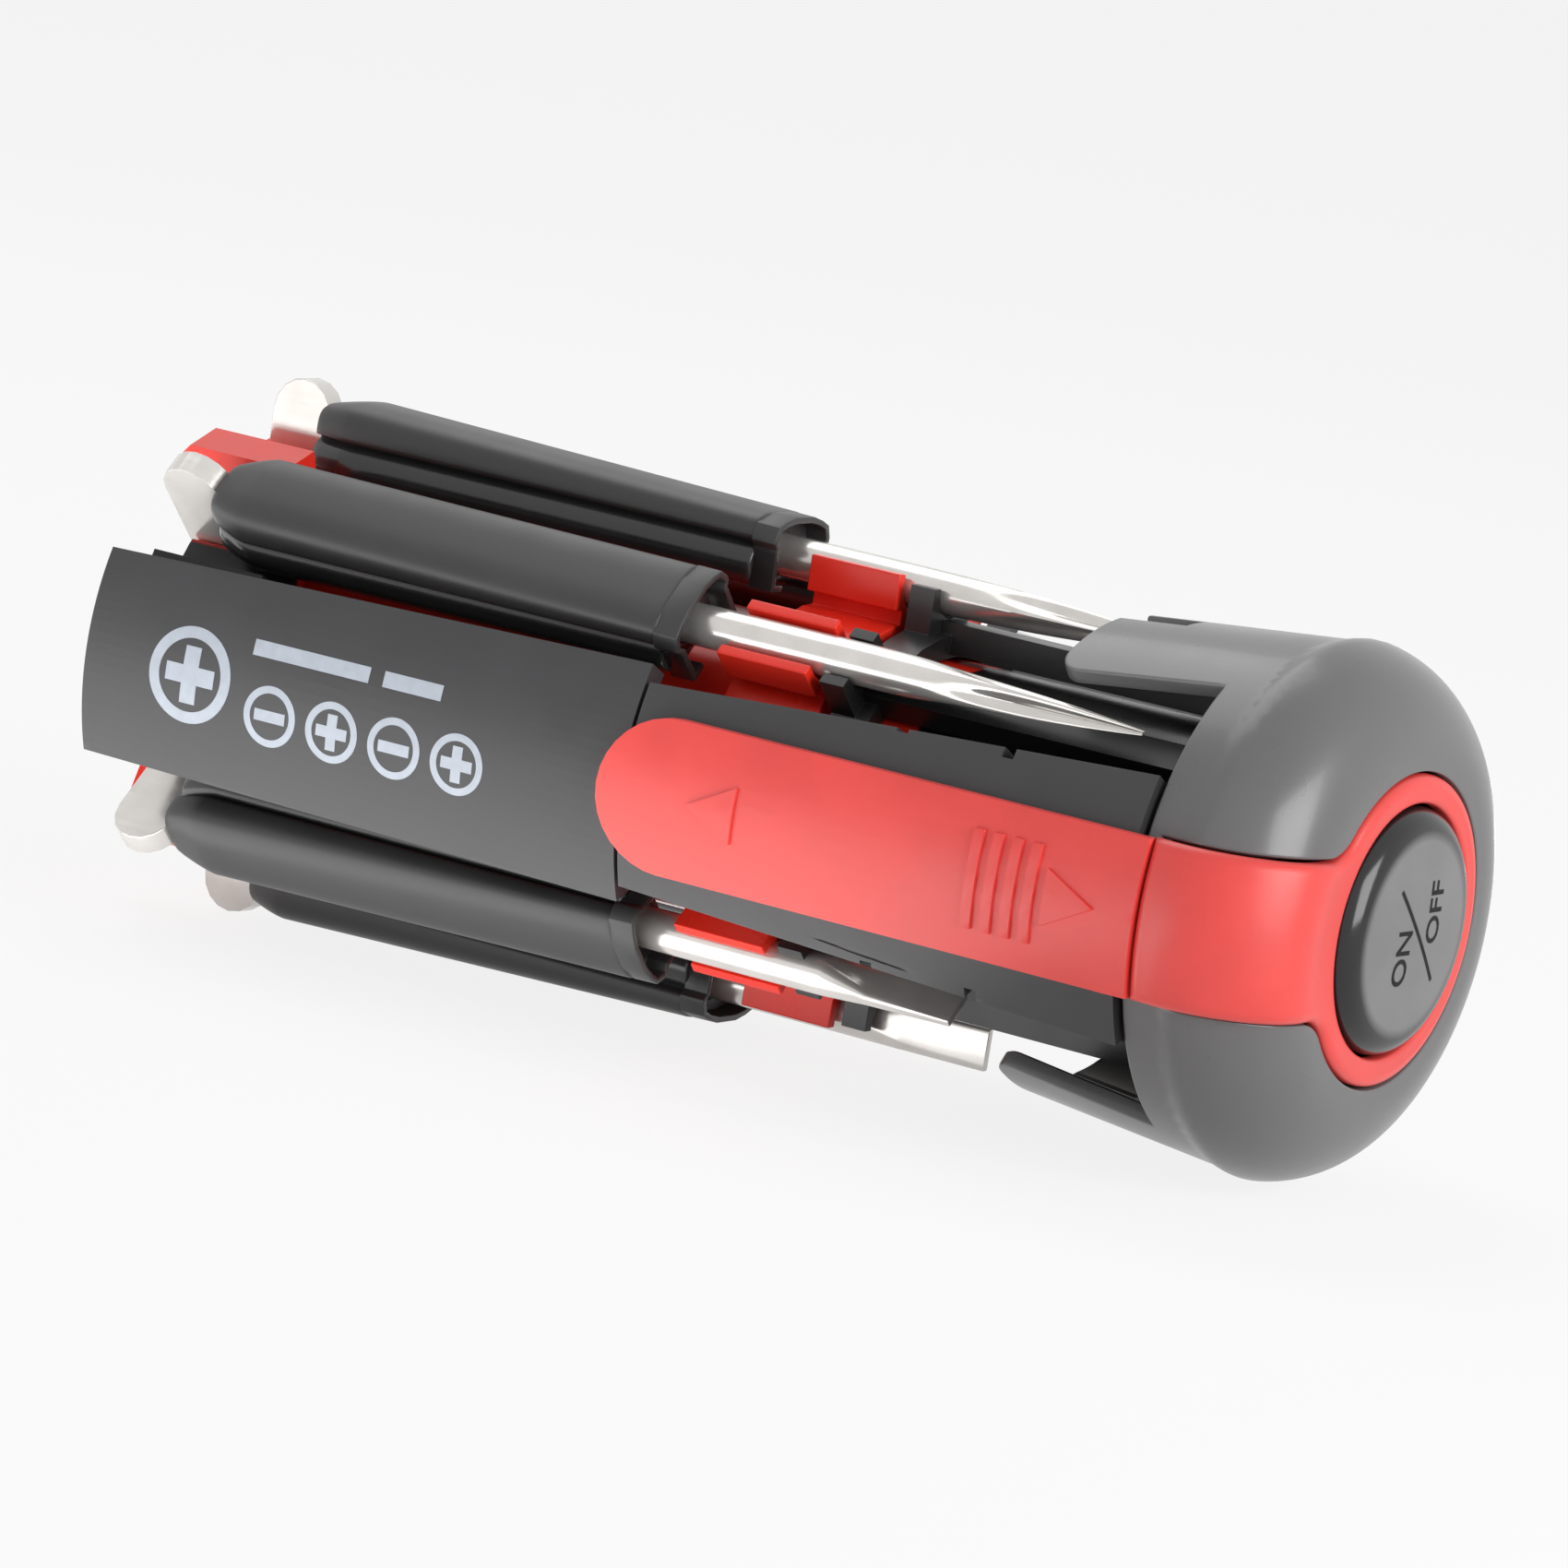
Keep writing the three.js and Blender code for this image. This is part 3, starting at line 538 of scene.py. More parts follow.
@dataclass(frozen=True)
class CellWrap:
    """Wrap of a cell with bands of foil round the can."""

    name: str
    colour: Colour
    band: Colour
    stretch: Triple = (90.0, 4.0, 4.0)
    detail: float = 1.0
    band_start: float = 0.48
    band_end: float = 0.52
    smoothest: float = 0.25
    roughest: float = 0.4
    metallic: float = 0.6

    def build(self) -> Material:
        """Makes the material."""
        desk = NodeDesk(self.name)
        waves = desk.noise(desk.stretched(self.stretch), 1.0, self.detail)
        share = desk.spread(waves, 0.0, 1.0, self.band_start, self.band_end)
        desk.tint(desk.mixed(share, self.colour, self.band))
        desk.roughen(desk.spread(waves, self.smoothest, self.roughest))
        desk.set(Metallic=self.metallic)
        return desk.material


FINISHES = {
    "panel_plastic": MouldedPlastic("panel_grained", (0.034, 0.034, 0.036), 0.46, mottling=0.08),
    # A polished foot under a matt crown.
    "black_plastic": ZonedPlastic(
        "sleeve_matt", (0.03, 0.03, 0.031), 0.2, uneven=0.2,
        zone_start=21.3 * MM, border=0.4 * MM, zone_roughness=0.44, zone_uneven=0.1),
    "rack_plastic": MouldedPlastic("rack_satin", (0.014, 0.014, 0.015), 0.34),
    "red_plastic": MouldedPlastic(
        "slider_red", (0.77, 0.066, 0.058), 0.36, grain_strength=0.12, mottling=0.05),
    # Red between the drivers; the lamp housings on both flanks are painted dark as shade.
    "hub_plastic_painted_shade": ZonedPlastic(
        "hub_red_painted_shade", (0.88, 0.036, 0.02), 0.3, grain_strength=0.08, mottling=0.06, specular=0.25,
        way=Reach.ACROSS, zone_start=12.6 * MM, painted_shade_colour=(0.02, 0.02, 0.021)),
    "core_plastic": MouldedPlastic(
        "core_red", (0.88, 0.032, 0.016), 0.26, grain_strength=0.08, mottling=0.06, specular=0.3),
    # Red in front; behind that, under the cap's tabs, it is painted dark as shade.
    "tube_plastic_painted_shade": ZonedPlastic(
        "tube_red_painted_shade", (0.88, 0.032, 0.016), 0.26, grain_strength=0.08, mottling=0.06, specular=0.3,
        way=Reach.ALONG, zone_start=82.0 * MM, painted_shade_colour=(0.01, 0.01, 0.011)),
    "cap_plastic": MouldedPlastic(
        "cap_polished", (0.13, 0.129, 0.131), 0.3, grain_strength=0.04, mottling=0.03, coat=0.12),
    # A satin face inside a polished edge; the edge's darker colour is a painted dark reflection.
    "button_plastic_painted_reflection": ZonedPlastic(
        "button_satin_painted_dark_edge", (0.18, 0.177, 0.18), 0.42, uneven=0.1, grain_strength=0.1,
        zone_start=9.1 * MM, border=0.5 * MM, painted_shade_colour=(0.012, 0.012, 0.013), zone_roughness=0.16),
    "steel": DrawnSteel("steel_plated", (0.74, 0.715, 0.68), 0.18, line_strength=0.06, metallic=0.6),
    "spring": DrawnSteel("spring_wire", (0.62, 0.63, 0.65), 0.28),
    "contact": DrawnSteel("contact_brass", (0.8, 0.6, 0.26), 0.25),
    "window": ClearPlastic("window_clear", (0.94, 0.96, 0.98)),
    "lamp": MouldedPlastic("lamp_resin", (0.9, 0.9, 0.82), 0.12, grain_strength=0.03),
    "board": MouldedPlastic("board_lacquer", (0.03, 0.2, 0.08), 0.4),
    "cell": CellWrap("cell_wrap", (0.16, 0.18, 0.21), (0.5, 0.52, 0.55)),
    "print_pale": PrintedInk("print_pale_grey", (0.42, 0.46, 0.52)),
    "print_black": PrintedInk("print_black", (0.012, 0.012, 0.013)),
}


class FinishStore:
    """Makes each finish once and hands it out."""

    def __init__(self) -> None:
        """Starts with no material made."""
        self.made: dict[str, Material] = {}

    def take(self, name: str) -> Material:
        """Gives a finish's material.

        Args:
            name: the finish's key.

        Returns:
            The material, made at its first use.
        """
        if name not in self.made:
            self.made[name] = FINISHES[name].build()
        return self.made[name]


class Bench:
    """Copies, rounds and places pieces, and keeps the frame's names for bodies and finishes."""

    def __init__(self) -> None:
        """Reads which body and which finish each node of the frame has."""
        record = frame["record"]
        bodies = record["behaviour"]["bodies"]
        self.body_of = {node: body for body, nodes in bodies.items() for node in nodes}
        self.slot_of = {part["node"]: part["material_slot"] for part in record["subparts"]}
        self.finishes = FinishStore()

    def copy(self, node: str) -> BMesh:
        """Takes a welded copy of a node's solid.

        Args:
            node: the node's name.

        Returns:
            The copy, with flat areas merged into single faces.
        """
        mesh = bmesh.new()
        mesh.from_mesh(frame["nodes"][node].data)
        bmesh.ops.remove_doubles(mesh, verts=mesh.verts, dist=WELD)
        bmesh.ops.dissolve_limit(mesh, angle_limit=math.radians(FLAT_TURN), verts=mesh.verts,
                                 edges=mesh.edges)
        return mesh

    def refine(self, mesh: BMesh, settle: Settle, longest: float = 1.6 * MM, rounds: int = 6) -> None:
        """Splits long edges and brings the new points to the true form.

        Args:
            mesh: the mesh to refine.
            settle: gives a point's place on the true form.
            longest: edges above this length are split.
            rounds: how often edges are halved at most.
        """
        bmesh.ops.triangulate(mesh, faces=mesh.faces)
        for _ in range(rounds):
            long_edges = [edge for edge in mesh.edges if edge.calc_length() > longest]
            if not long_edges:
                break
            bmesh.ops.subdivide_edges(mesh, edges=long_edges, cuts=1, use_grid_fill=True)
            large = [face for face in mesh.faces if len(face.verts) > MOST_CORNERS]
            bmesh.ops.triangulate(mesh, faces=large)
        for vertex in mesh.verts:
            vertex.co = settle(vertex.co)

    def cut(self, mesh: BMesh, station: float, keep_rear: bool) -> None:
        """Cuts a mesh square to the axis, drops one side and closes the other.

        Args:
            mesh: the mesh to cut.
            station: where the cut lies.
            keep_rear: the side behind the cut stays, or else the side in front of it.
        """
        everything = [*mesh.verts, *mesh.edges, *mesh.faces]
        bmesh.ops.bisect_plane(mesh, geom=everything, dist=FINE_WELD, plane_no=(1.0, 0.0, 0.0),
                               plane_co=AXIS.point(station, 0.0, 0.0), clear_inner=keep_rear,
                               clear_outer=not keep_rear)
        bmesh.ops.holes_fill(mesh, edges=[edge for edge in mesh.edges if edge.is_boundary])

    def round_edges(self, mesh: BMesh, width: float, sharp: float = 35.0, segments: int = 2) -> None:
        """Rounds the sharp edges of a solid.

        Args:
            mesh: the mesh to round.
            width: how far the rounding reaches on each side.
            sharp: edges that turn more than this, in degrees, are rounded.
            segments: faces across the rounding.
        """
        limit = math.radians(sharp)
        shared = [edge for edge in mesh.edges if len(edge.link_faces) == 2]
        edges = [edge for edge in shared if edge.calc_face_angle(0.0) > limit]
        if edges:
            bmesh.ops.bevel(mesh, geom=edges, offset=width, offset_type="OFFSET", segments=segments,
                            profile=ROUND_PROFILE, affect="EDGES", clamp_overlap=True)

    def piece(self, mesh: BMesh, name: str, smooth: float = 32.0, even: bool = True) -> Object:
        """Turns a mesh into an object with smooth faces between its sharp edges.

        Args:
            mesh: the mesh; it is freed.
            name: the object's name.
            smooth: edges that turn more than this, in degrees, stay sharp.
            even: large faces lead the shading of their small neighbours.

        Returns:
            The object, in the scene.
        """
        bmesh.ops.recalc_face_normals(mesh, faces=mesh.faces)
        limit = math.radians(smooth)
        for face in mesh.faces:
            face.smooth = True
        for edge in mesh.edges:
            edge.smooth = len(edge.link_faces) == 2 and edge.calc_face_angle(0.0) < limit
        data = bpy.data.meshes.new(name)
        mesh.to_mesh(data)
        mesh.free()
        piece = bpy.data.objects.new(name, data)
        bpy.context.scene.collection.objects.link(piece)
        if SKIN in data.attributes:
            self.set_skin_normals(data)
        elif even:
            weights = piece.modifiers.new("even_shading", "WEIGHTED_NORMAL")
            weights.keep_sharp = True
        return piece

    def set_skin_normals(self, data: Mesh) -> None:
        """Shades the faces of a worked-out skin by its true normals.

        Args:
            data: the mesh, whose skin points carry their normals.
        """
        normals = [Vector(entry.vector) for entry in data.attributes[SKIN].data]
        corners: list[Vector] = []
        for face in data.polygons:
            known = [normals[index] for index in face.vertices]
            whole = all(normal.length_squared > 0 for normal in known)
            corners += known if whole else [Vector()] * len(known)
        data.attributes.remove(data.attributes[SKIN])
        data.normals_split_custom_set(corners)

    def bridge(self, mesh: BMesh, first: list[BMVert], second: list[BMVert]) -> None:
        """Joins two closed rows of points by faces; a row of one point is a pole.

        Args:
            mesh: the mesh that takes the faces.
            first: one row.
            second: the next row.
        """
        count = max(len(first), len(second))
        for index in range(count):
            after = (index + 1) % count
            corners = [first[index % len(first)], first[after % len(first)],
                       second[after % len(second)], second[index % len(second)]]
            mesh.faces.new(list(dict.fromkeys(corners)))

    def loft(self, mesh: BMesh, rows: Iterable[Iterable[Vector]]) -> None:
        """Joins closed rows of points into one skin; rows of one point close its ends.

        Args:
            mesh: the mesh that takes the skin.
            rows: the rows in order.
        """
        made = [[mesh.verts.new(point) for point in row] for row in rows]
        for first, second in zip(made, made[1:]):
            self.bridge(mesh, first, second)

    def revolve(self, mesh: BMesh, profile: Iterable[tuple[float, float]], steps: int = 96) -> None:
        """Turns a profile round the tool's axis.

        Args:
            mesh: the mesh that takes the skin.
            profile: radius and station of each point.
            steps: faces round the axis.
        """
        rows = []
        for radius, station in profile:
            count = steps if radius > 0 else 1
            rows.append([AXIS.point(station, radius, index * 360 / steps) for index in range(count)])
        self.loft(mesh, rows)

    def moulded(self, node: str, name: str, edge: float, segments: int = 2,
                settle: Optional[Settle] = None) -> Object:
        """Copies a node's solid, brings its skin to the true form and rounds its edges.

        Args:
            node: the node's name.
            name: the new piece's name.
            edge: how far the rounding reaches on each side.
            segments: faces across the rounding.
            settle: gives a point's place on the true form; without it, the skin stays.

        Returns:
            The piece.
        """
        mesh = self.copy(node)
        if settle:
            self.refine(mesh, settle)
        self.round_edges(mesh, edge, segments=segments)
        return self.piece(mesh, name)

    def stand_for(self, piece: Object, node: str, finish: Optional[str] = None) -> Object:
        """Lets a piece replace a node: it takes the node's body and its finish, or another one."""
        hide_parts(node)
        return self.fit(piece, self.body_of[node], self.slot_of[node], finish)

    def fit(self, piece: Object, body: str, slot: str, finish: Optional[str] = None) -> Object:
        """Puts a piece on a body with a finish.

        Args:
            piece: the piece.
            body: the body that it rides on.
            slot: the record's finish for it.
            finish: a finish to show in place of the slot's own.

        Returns:
            The same piece.
        """
        piece.data.materials.clear()
        piece.data.materials.append(self.finishes.take(finish or slot))
        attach(piece, body)
        log.info("%s rides on %s in %s", piece.name, body, finish or slot)
        return piece

    def keep(self, node: str, finish: Optional[str] = None) -> None:
        """Keeps a node's own solid and gives it a finish.

        Args:
            node: the node's name.
            finish: a finish other than the node's own.
        """
        data = frame["nodes"][node].data
        data.materials.clear()
        data.materials.append(self.finishes.take(finish or self.slot_of[node]))
        log.info("%s keeps its solid in %s", node, finish or self.slot_of[node])


@dataclass
class FrontHub:
    """Red hub with its fins, tang slots and lamp blocks."""

    bench: Bench
    edge: float = 0.35 * MM

    def build(self) -> Object:
        """Makes the hub with moulded edges."""
        return self.bench.moulded("front_hub", "hub", self.edge)

    def dress(self) -> None:
        """Puts the hub in place of its solid."""
        # The hub's finish paints its lamp blocks dark as shade.
        self.bench.stand_for(self.build(), "front_hub", "hub_plastic_painted_shade")


@dataclass
class LampSet:
    """Torch lamps, their boards and clear windows, on both flanks."""

    bench: Bench
    window_edge: float = 0.2 * MM
    bulb_smooth: float = 50.0

    def build_window(self, side: Side) -> Object:
        """Makes the window of one flank with polished edges."""
        return self.bench.moulded(f"lamp_window_{side.value}", f"window_{side.value}", self.window_edge)

    def build_lamp(self, node: str) -> Object:
        """Makes one lamp with a smooth dome."""
        return self.bench.piece(self.bench.copy(node), f"{node}_bulb", smooth=self.bulb_smooth)

    def dress(self) -> None:
        """Dresses windows, boards and lamps."""
        for side in Side:
            self.bench.stand_for(self.build_window(side), f"lamp_window_{side.value}")
            self.bench.keep(f"lamp_board_{side.value}")
            prefix = f"lamp_{side.value}_"
            for node in sorted(name for name in frame["nodes"] if name.startswith(prefix)):
                self.bench.stand_for(self.build_lamp(node), node)


@dataclass
class BatteryPack:
    """Battery tube with its cells and contact plates."""

    bench: Bench

    def build_tube(self) -> Object:
        """Makes the tube with a smooth skin."""
        return self.bench.piece(self.bench.copy("battery_tube"), "tube")

    def dress(self) -> None:
        """Dresses the tube, the cells and the contacts."""
        # The tube's finish paints its rear, under the cap's tabs, dark as shade.
        self.bench.stand_for(self.build_tube(), "battery_tube", "tube_plastic_painted_shade")
        for node in sorted(frame["nodes"]):
            if node.startswith("cell_"):
                self.bench.stand_for(self.bench.piece(self.bench.copy(node), f"{node}_can"), node)
            elif node.endswith("_contact"):
                self.bench.keep(node)


@dataclass(frozen=True)
class SleeveForm:
    """Form of a sleeve: a matt crown over a ledge, and a polished bulging foot.

    The roundings list offset along the sleeve and draw-in, in millimetres. The ledge's line lists
    offsets outwards and upwards, as shares of its step.
    """

    nose: float = 6.5 * MM
    nose_length: float = 4.6 * MM
    rear: float = 60.3 * MM
    nose_half: float = 3.2 * MM
    half: float = 4.8 * MM
    nose_top: float = 24.4 * MM
    front_top: float = 25.32 * MM
    rear_top: float = 24.03 * MM
    shoulder: float = 22.0 * MM
    squareness: float = 3.2
    crown_inset: float = 0.3 * MM
    ledge: float = 21.6 * MM
    ledge_step: float = 0.9 * MM
    ledge_line: Pairs = ((-0.06, 0.05), (-0.25, -0.1), (-1.0, -0.25))
    foot_middle: float = 19.2 * MM
    foot_rise: float = 2.1 * MM
    foot_bulge: float = 1.9 * MM
    foot_start: float = 72.0
    fullness: float = 1.32
    shrink_middle: float = 21.0 * MM
    nose_rounding: Pairs = ((0.0, 0.7), (0.05, 0.4), (0.2, 0.14), (0.5, 0.03))
    rear_rounding: Pairs = ((0.4, 0.0), (0.15, 0.06), (0.03, 0.2), (0.0, 0.4))
    nose_start: float = 1.1 * MM
    rear_start: float = 1.0 * MM
    socket: float = 2.6 * MM
    overlap: float = 0.2 * MM
    rings: int = 24
    nose_rings: int = 8
    crown_steps: int = 14
    foot_steps: int = 12

    @property
    def skin_end(self) -> float:
        """Station where the worked-out skin ends, just inside the socket at the rear."""
        return self.rear - self.socket + self.overlap

    def half_outline(self, half: float, top: float) -> list[tuple[float, float]]:
        """Gives one half of a cross-section, from the crown down to the foot.

        Args:
            half: half the width at the crown.
            top: the crown's distance from the tool's axis.

        Returns:
            Sideways offset and distance from the tool's axis of each point.
        """
        power = 2 / self.squareness
        crown = half - self.crown_inset
        points = []
        for turn in spaced(0.0, math.pi / 2, self.crown_steps):
            points.append((crown * math.sin(turn) ** power,
                           self.shoulder + (top - self.shoulder) * max(0.0, math.cos(turn)) ** power))
        for out, up in self.ledge_line:
            points.append((crown + out * self.ledge_step, self.ledge + up * self.ledge_step))
        waist = half - self.foot_bulge
        for turn in spaced(math.radians(self.foot_start), -math.pi / 2, self.foot_steps):
            points.append((waist + self.foot_bulge * math.cos(turn),
                           self.foot_middle + self.foot_rise * math.sin(turn)))
        points.append((0.0, self.foot_middle - self.foot_rise))
        return points

    def outline(self, half: float, top: float, shrink: float) -> list[tuple[float, float]]:
        """Gives a whole cross-section, drawn in from its edge.

        Args:
            half: half the width at the crown.
            top: the crown's distance from the tool's axis.
            shrink: how far its edge is drawn in.

        Returns:
            Sideways offset and distance from the tool's axis of each point.
        """
        right = self.half_outline(half, top)
        left = [(-across, height) for across, height in reversed(right[1:-1])]
        share = 1 - shrink / half
        middle = self.shrink_middle
        return [(across * share, middle + (height - middle) * share) for across, height in right + left]

    def sections(self) -> list[tuple[float, float, float, float]]:
        """Gives station, half width, crown and draw-in of each ring from nose to rear."""
        rows = []
        nose_end = self.nose + self.nose_length
        even = spaced(self.nose + self.nose_start, nose_end, self.nose_rings)
        even += spaced(nose_end, self.skin_end - self.rear_start, self.rings)[1:]
        stations = [(self.nose + offset * MM, shrink * MM) for offset, shrink in self.nose_rounding]
        stations += [(station, 0.0) for station in even]
        stations += [(self.skin_end - offset * MM, shrink * MM) for offset, shrink in self.rear_rounding]
        for station, shrink in stations:
            share = min(1.0, (station - self.nose) / self.nose_length)
            full = 1 - (1 - share) ** self.fullness
            fall = max(0.0, (station - nose_end) / (self.rear - nose_end))
            top = self.nose_top + (self.front_top - self.nose_top) * full
            top += (self.rear_top - self.front_top) * fall
            rows.append((station, self.nose_half + (self.half - self.nose_half) * full, top, shrink))
        return rows


@dataclass(frozen=True)
class CrossTip:
    """Form of a cross tip: a long taper whose four flutes fade into the rod."""

    rod: float = 2.0 * MM
    length: float = 32.0 * MM
    overlap: float = 0.4 * MM
    slimming: float = 0.86
    late: float = 2.6
    flute_depth: float = 0.6
    flute_start: float = 0.22
    flute_length: float = 0.5
    flute_power: float = 1.5
    flutes: int = 4
    rings: int = 34
    steps: int = 48

    def reach(self, share: float, turn: float) -> float:
        """Gives the tip's radius.

        Args:
            share: place along the tip, from the rod to the point.
            turn: angle round the rod in radians.

        Returns:
            The distance from the rod's axis.
        """
        outer = self.rod * (1 - self.slimming * share ** self.late)
        depth = self.flute_depth * eased((share - self.flute_start) / self.flute_length)
        return outer * (1 - depth * abs(math.sin(self.flutes / 2 * turn)) ** self.flute_power)


@dataclass
class DriverSet:
    """Folding drivers: steel shank, moulded sleeve and hinge pin."""

    bench: Bench
    sleeve: SleeveForm = field(default_factory=SleeveForm)
    cross: CrossTip = field(default_factory=CrossTip)
    steel_edge: float = 0.18 * MM
    socket_edge: float = 0.1 * MM
    rod_radius: float = 20.185 * MM
    sharp_point: float = 1.2 * MM
    end_tolerance: float = 0.03 * MM
    shank_smooth: float = 36.0
    sleeve_smooth: float = 60.0
    numbers: list[int] = field(init=False)
    angles: dict[int, float] = field(init=False)

    def __post_init__(self) -> None:
        """Counts the drivers in the frame and works out their angles."""
        shanks = [name for name in frame["nodes"] if name.endswith("_shank")]
        self.numbers = sorted(int(name.split("_")[1]) for name in shanks)
        self.angles = {number: self.angle_of(number) for number in self.numbers}

    def angle_of(self, number: int) -> float:
        """Works out a driver's angle round the tool from the middle of its sleeve.

        Args:
            number: the driver's number.

        Returns:
            The angle in degrees from the left flank towards the top.
        """
        low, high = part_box(f"driver_{number}_sleeve")
        middle = (low + high) / 2
        return math.degrees(math.atan2(middle.z - AXIS.z, AXIS.y - middle.y))

    def beside(self, number: int, station: float, height: float, across: float) -> Vector:
        """Gives a point in a driver's own frame.

        Args:
            number: the driver's number.
            station: distance behind the front of the side panels.
            height: distance from the tool's axis along the driver's middle plane.
            across: distance from that plane.

        Returns:
            The point in the shared frame.
        """
        angle = self.angles[number]
        sideways = AXIS.point(0.0, 1.0, angle + 90) - AXIS.point(0.0, 0.0, 0.0)
        return AXIS.point(station, height, angle) + sideways * across

    def from_rod(self, number: int, point: Vector) -> float:
        """Gives a point's distance from the rod's axis."""
        middle = self.beside(number, 0.0, self.rod_radius, 0.0)
        return math.hypot(point.y - middle.y, point.z - middle.z)

    def has_cross_tip(self, number: int, mesh: BMesh) -> bool:
        """Tells a pointed tip from a flat one.

        Args:
            number: the driver's number.
            mesh: the shank's mesh.

        Returns:
            True where all points of the end lie close to the rod's axis.
        """
        end = max(vertex.co.x for vertex in mesh.verts)
        last = [vertex.co for vertex in mesh.verts if end - vertex.co.x < self.end_tolerance]
        return max(self.from_rod(number, point) for point in last) < self.sharp_point

    def grind_tip(self, number: int, mesh: BMesh) -> None:
        """Puts a fluted taper in place of a cross tip's plain steps.

        Args:
            number: the driver's number.
            mesh: the shank's mesh.
        """
        end = max(vertex.co.x for vertex in mesh.verts) - AXIS.panel_front
        start = end - self.cross.length
        self.bench.cut(mesh, start, keep_rear=False)
        rows = [[self.beside(number, start - self.cross.overlap, self.rod_radius, 0.0)]]
        for share in spaced(0.0, 1.0, self.cross.rings):
            station = start - self.cross.overlap + (end - start + self.cross.overlap) * share
            row = []
            for turn in spaced(0.0, 2 * math.pi, self.cross.steps)[:-1]:
                reach = self.cross.reach(share, turn)
                row.append(self.beside(number, station, self.rod_radius + reach * math.cos(turn),
                                       reach * math.sin(turn)))
            rows.append(row)
        rows.append([self.beside(number, end, self.rod_radius, 0.0)])
        self.bench.loft(mesh, rows)

    def build_shank(self, number: int) -> Object:
        """Makes one shank with ground edges.

        Args:
            number: the driver's number.

        Returns:
            The shank.
        """
        mesh = self.bench.copy(f"driver_{number}_shank")
        cross = self.has_cross_tip(number, mesh)
        self.bench.round_edges(mesh, self.steel_edge)
        if cross:
            self.grind_tip(number, mesh)
        return self.bench.piece(mesh, f"shank_{number}", smooth=self.shank_smooth)

    def build_sleeve(self, number: int) -> Object:
        """Makes one sleeve: a loft of its cross-sections in front of the solid's own open socket.

        Args:
            number: the driver's number.

        Returns:
            The sleeve.
        """
        mesh = self.bench.copy(f"driver_{number}_sleeve")
        self.bench.cut(mesh, self.sleeve.rear - self.sleeve.socket, keep_rear=True)
        self.bench.round_edges(mesh, self.socket_edge)
        sections = self.sleeve.sections()
        rows = [[self.beside(number, sections[0][0], self.sleeve.shrink_middle, 0.0)]]
        for station, half, top, shrink in sections:
            rows.append([self.beside(number, station, height, across)
                         for across, height in self.sleeve.outline(half, top, shrink)])
        rows.append([self.beside(number, sections[-1][0], self.sleeve.shrink_middle, 0.0)])
        self.bench.loft(mesh, rows)
        return self.bench.piece(mesh, f"sleeve_{number}", smooth=self.sleeve_smooth, even=False)

    def dress(self) -> None:
        """Dresses all drivers."""
        for number in self.numbers:
            self.bench.stand_for(self.build_shank(number), f"driver_{number}_shank")
            self.bench.stand_for(self.build_sleeve(number), f"driver_{number}_sleeve")
            self.bench.keep(f"driver_{number}_pin")


@dataclass(frozen=True)
class PanelForm:
    """Outer form of a side panel: a cone that narrows to the waist."""

    front: float = 25.685 * MM
    waist: float = 24.785 * MM
    length: float = 60.0 * MM

    def radius_at(self, station: float) -> float:
        """Gives the panel's outer radius at a station."""
        return self.front + (self.waist - self.front) * station / self.length


PANEL = PanelForm()


@dataclass
class SideShells:
    """Side panels and the rear strips behind them."""

    bench: Bench
    edge: float = 0.3 * MM
    tolerance: float = 0.12 * MM

    def settle_panel(self, point: Vector) -> Vector:
        """Brings a point of a panel's outer skin to its cone."""
        return AXIS.settled(point, PANEL.radius_at(point.x - AXIS.panel_front), self.tolerance)

    def settle_strip(self, point: Vector) -> Vector:
        """Brings a point of a strip's outer skin to its cylinder."""
        return AXIS.settled(point, PANEL.waist, self.tolerance)

    def build(self, node: str, name: str, settle: Settle) -> Object:
        """Makes one shell with a true skin and moulded edges."""
        return self.bench.moulded(node, name, self.edge, settle=settle)

    def dress(self) -> None:
        """Dresses both panels and both strips."""
        for side in Side:
            panel = f"side_panel_{side.value}"
            strip = f"rear_strip_{side.value}"
            self.bench.stand_for(self.build(panel, f"panel_{side.value}", self.settle_panel), panel)
            self.bench.stand_for(self.build(strip, f"strip_{side.value}", self.settle_strip), strip)


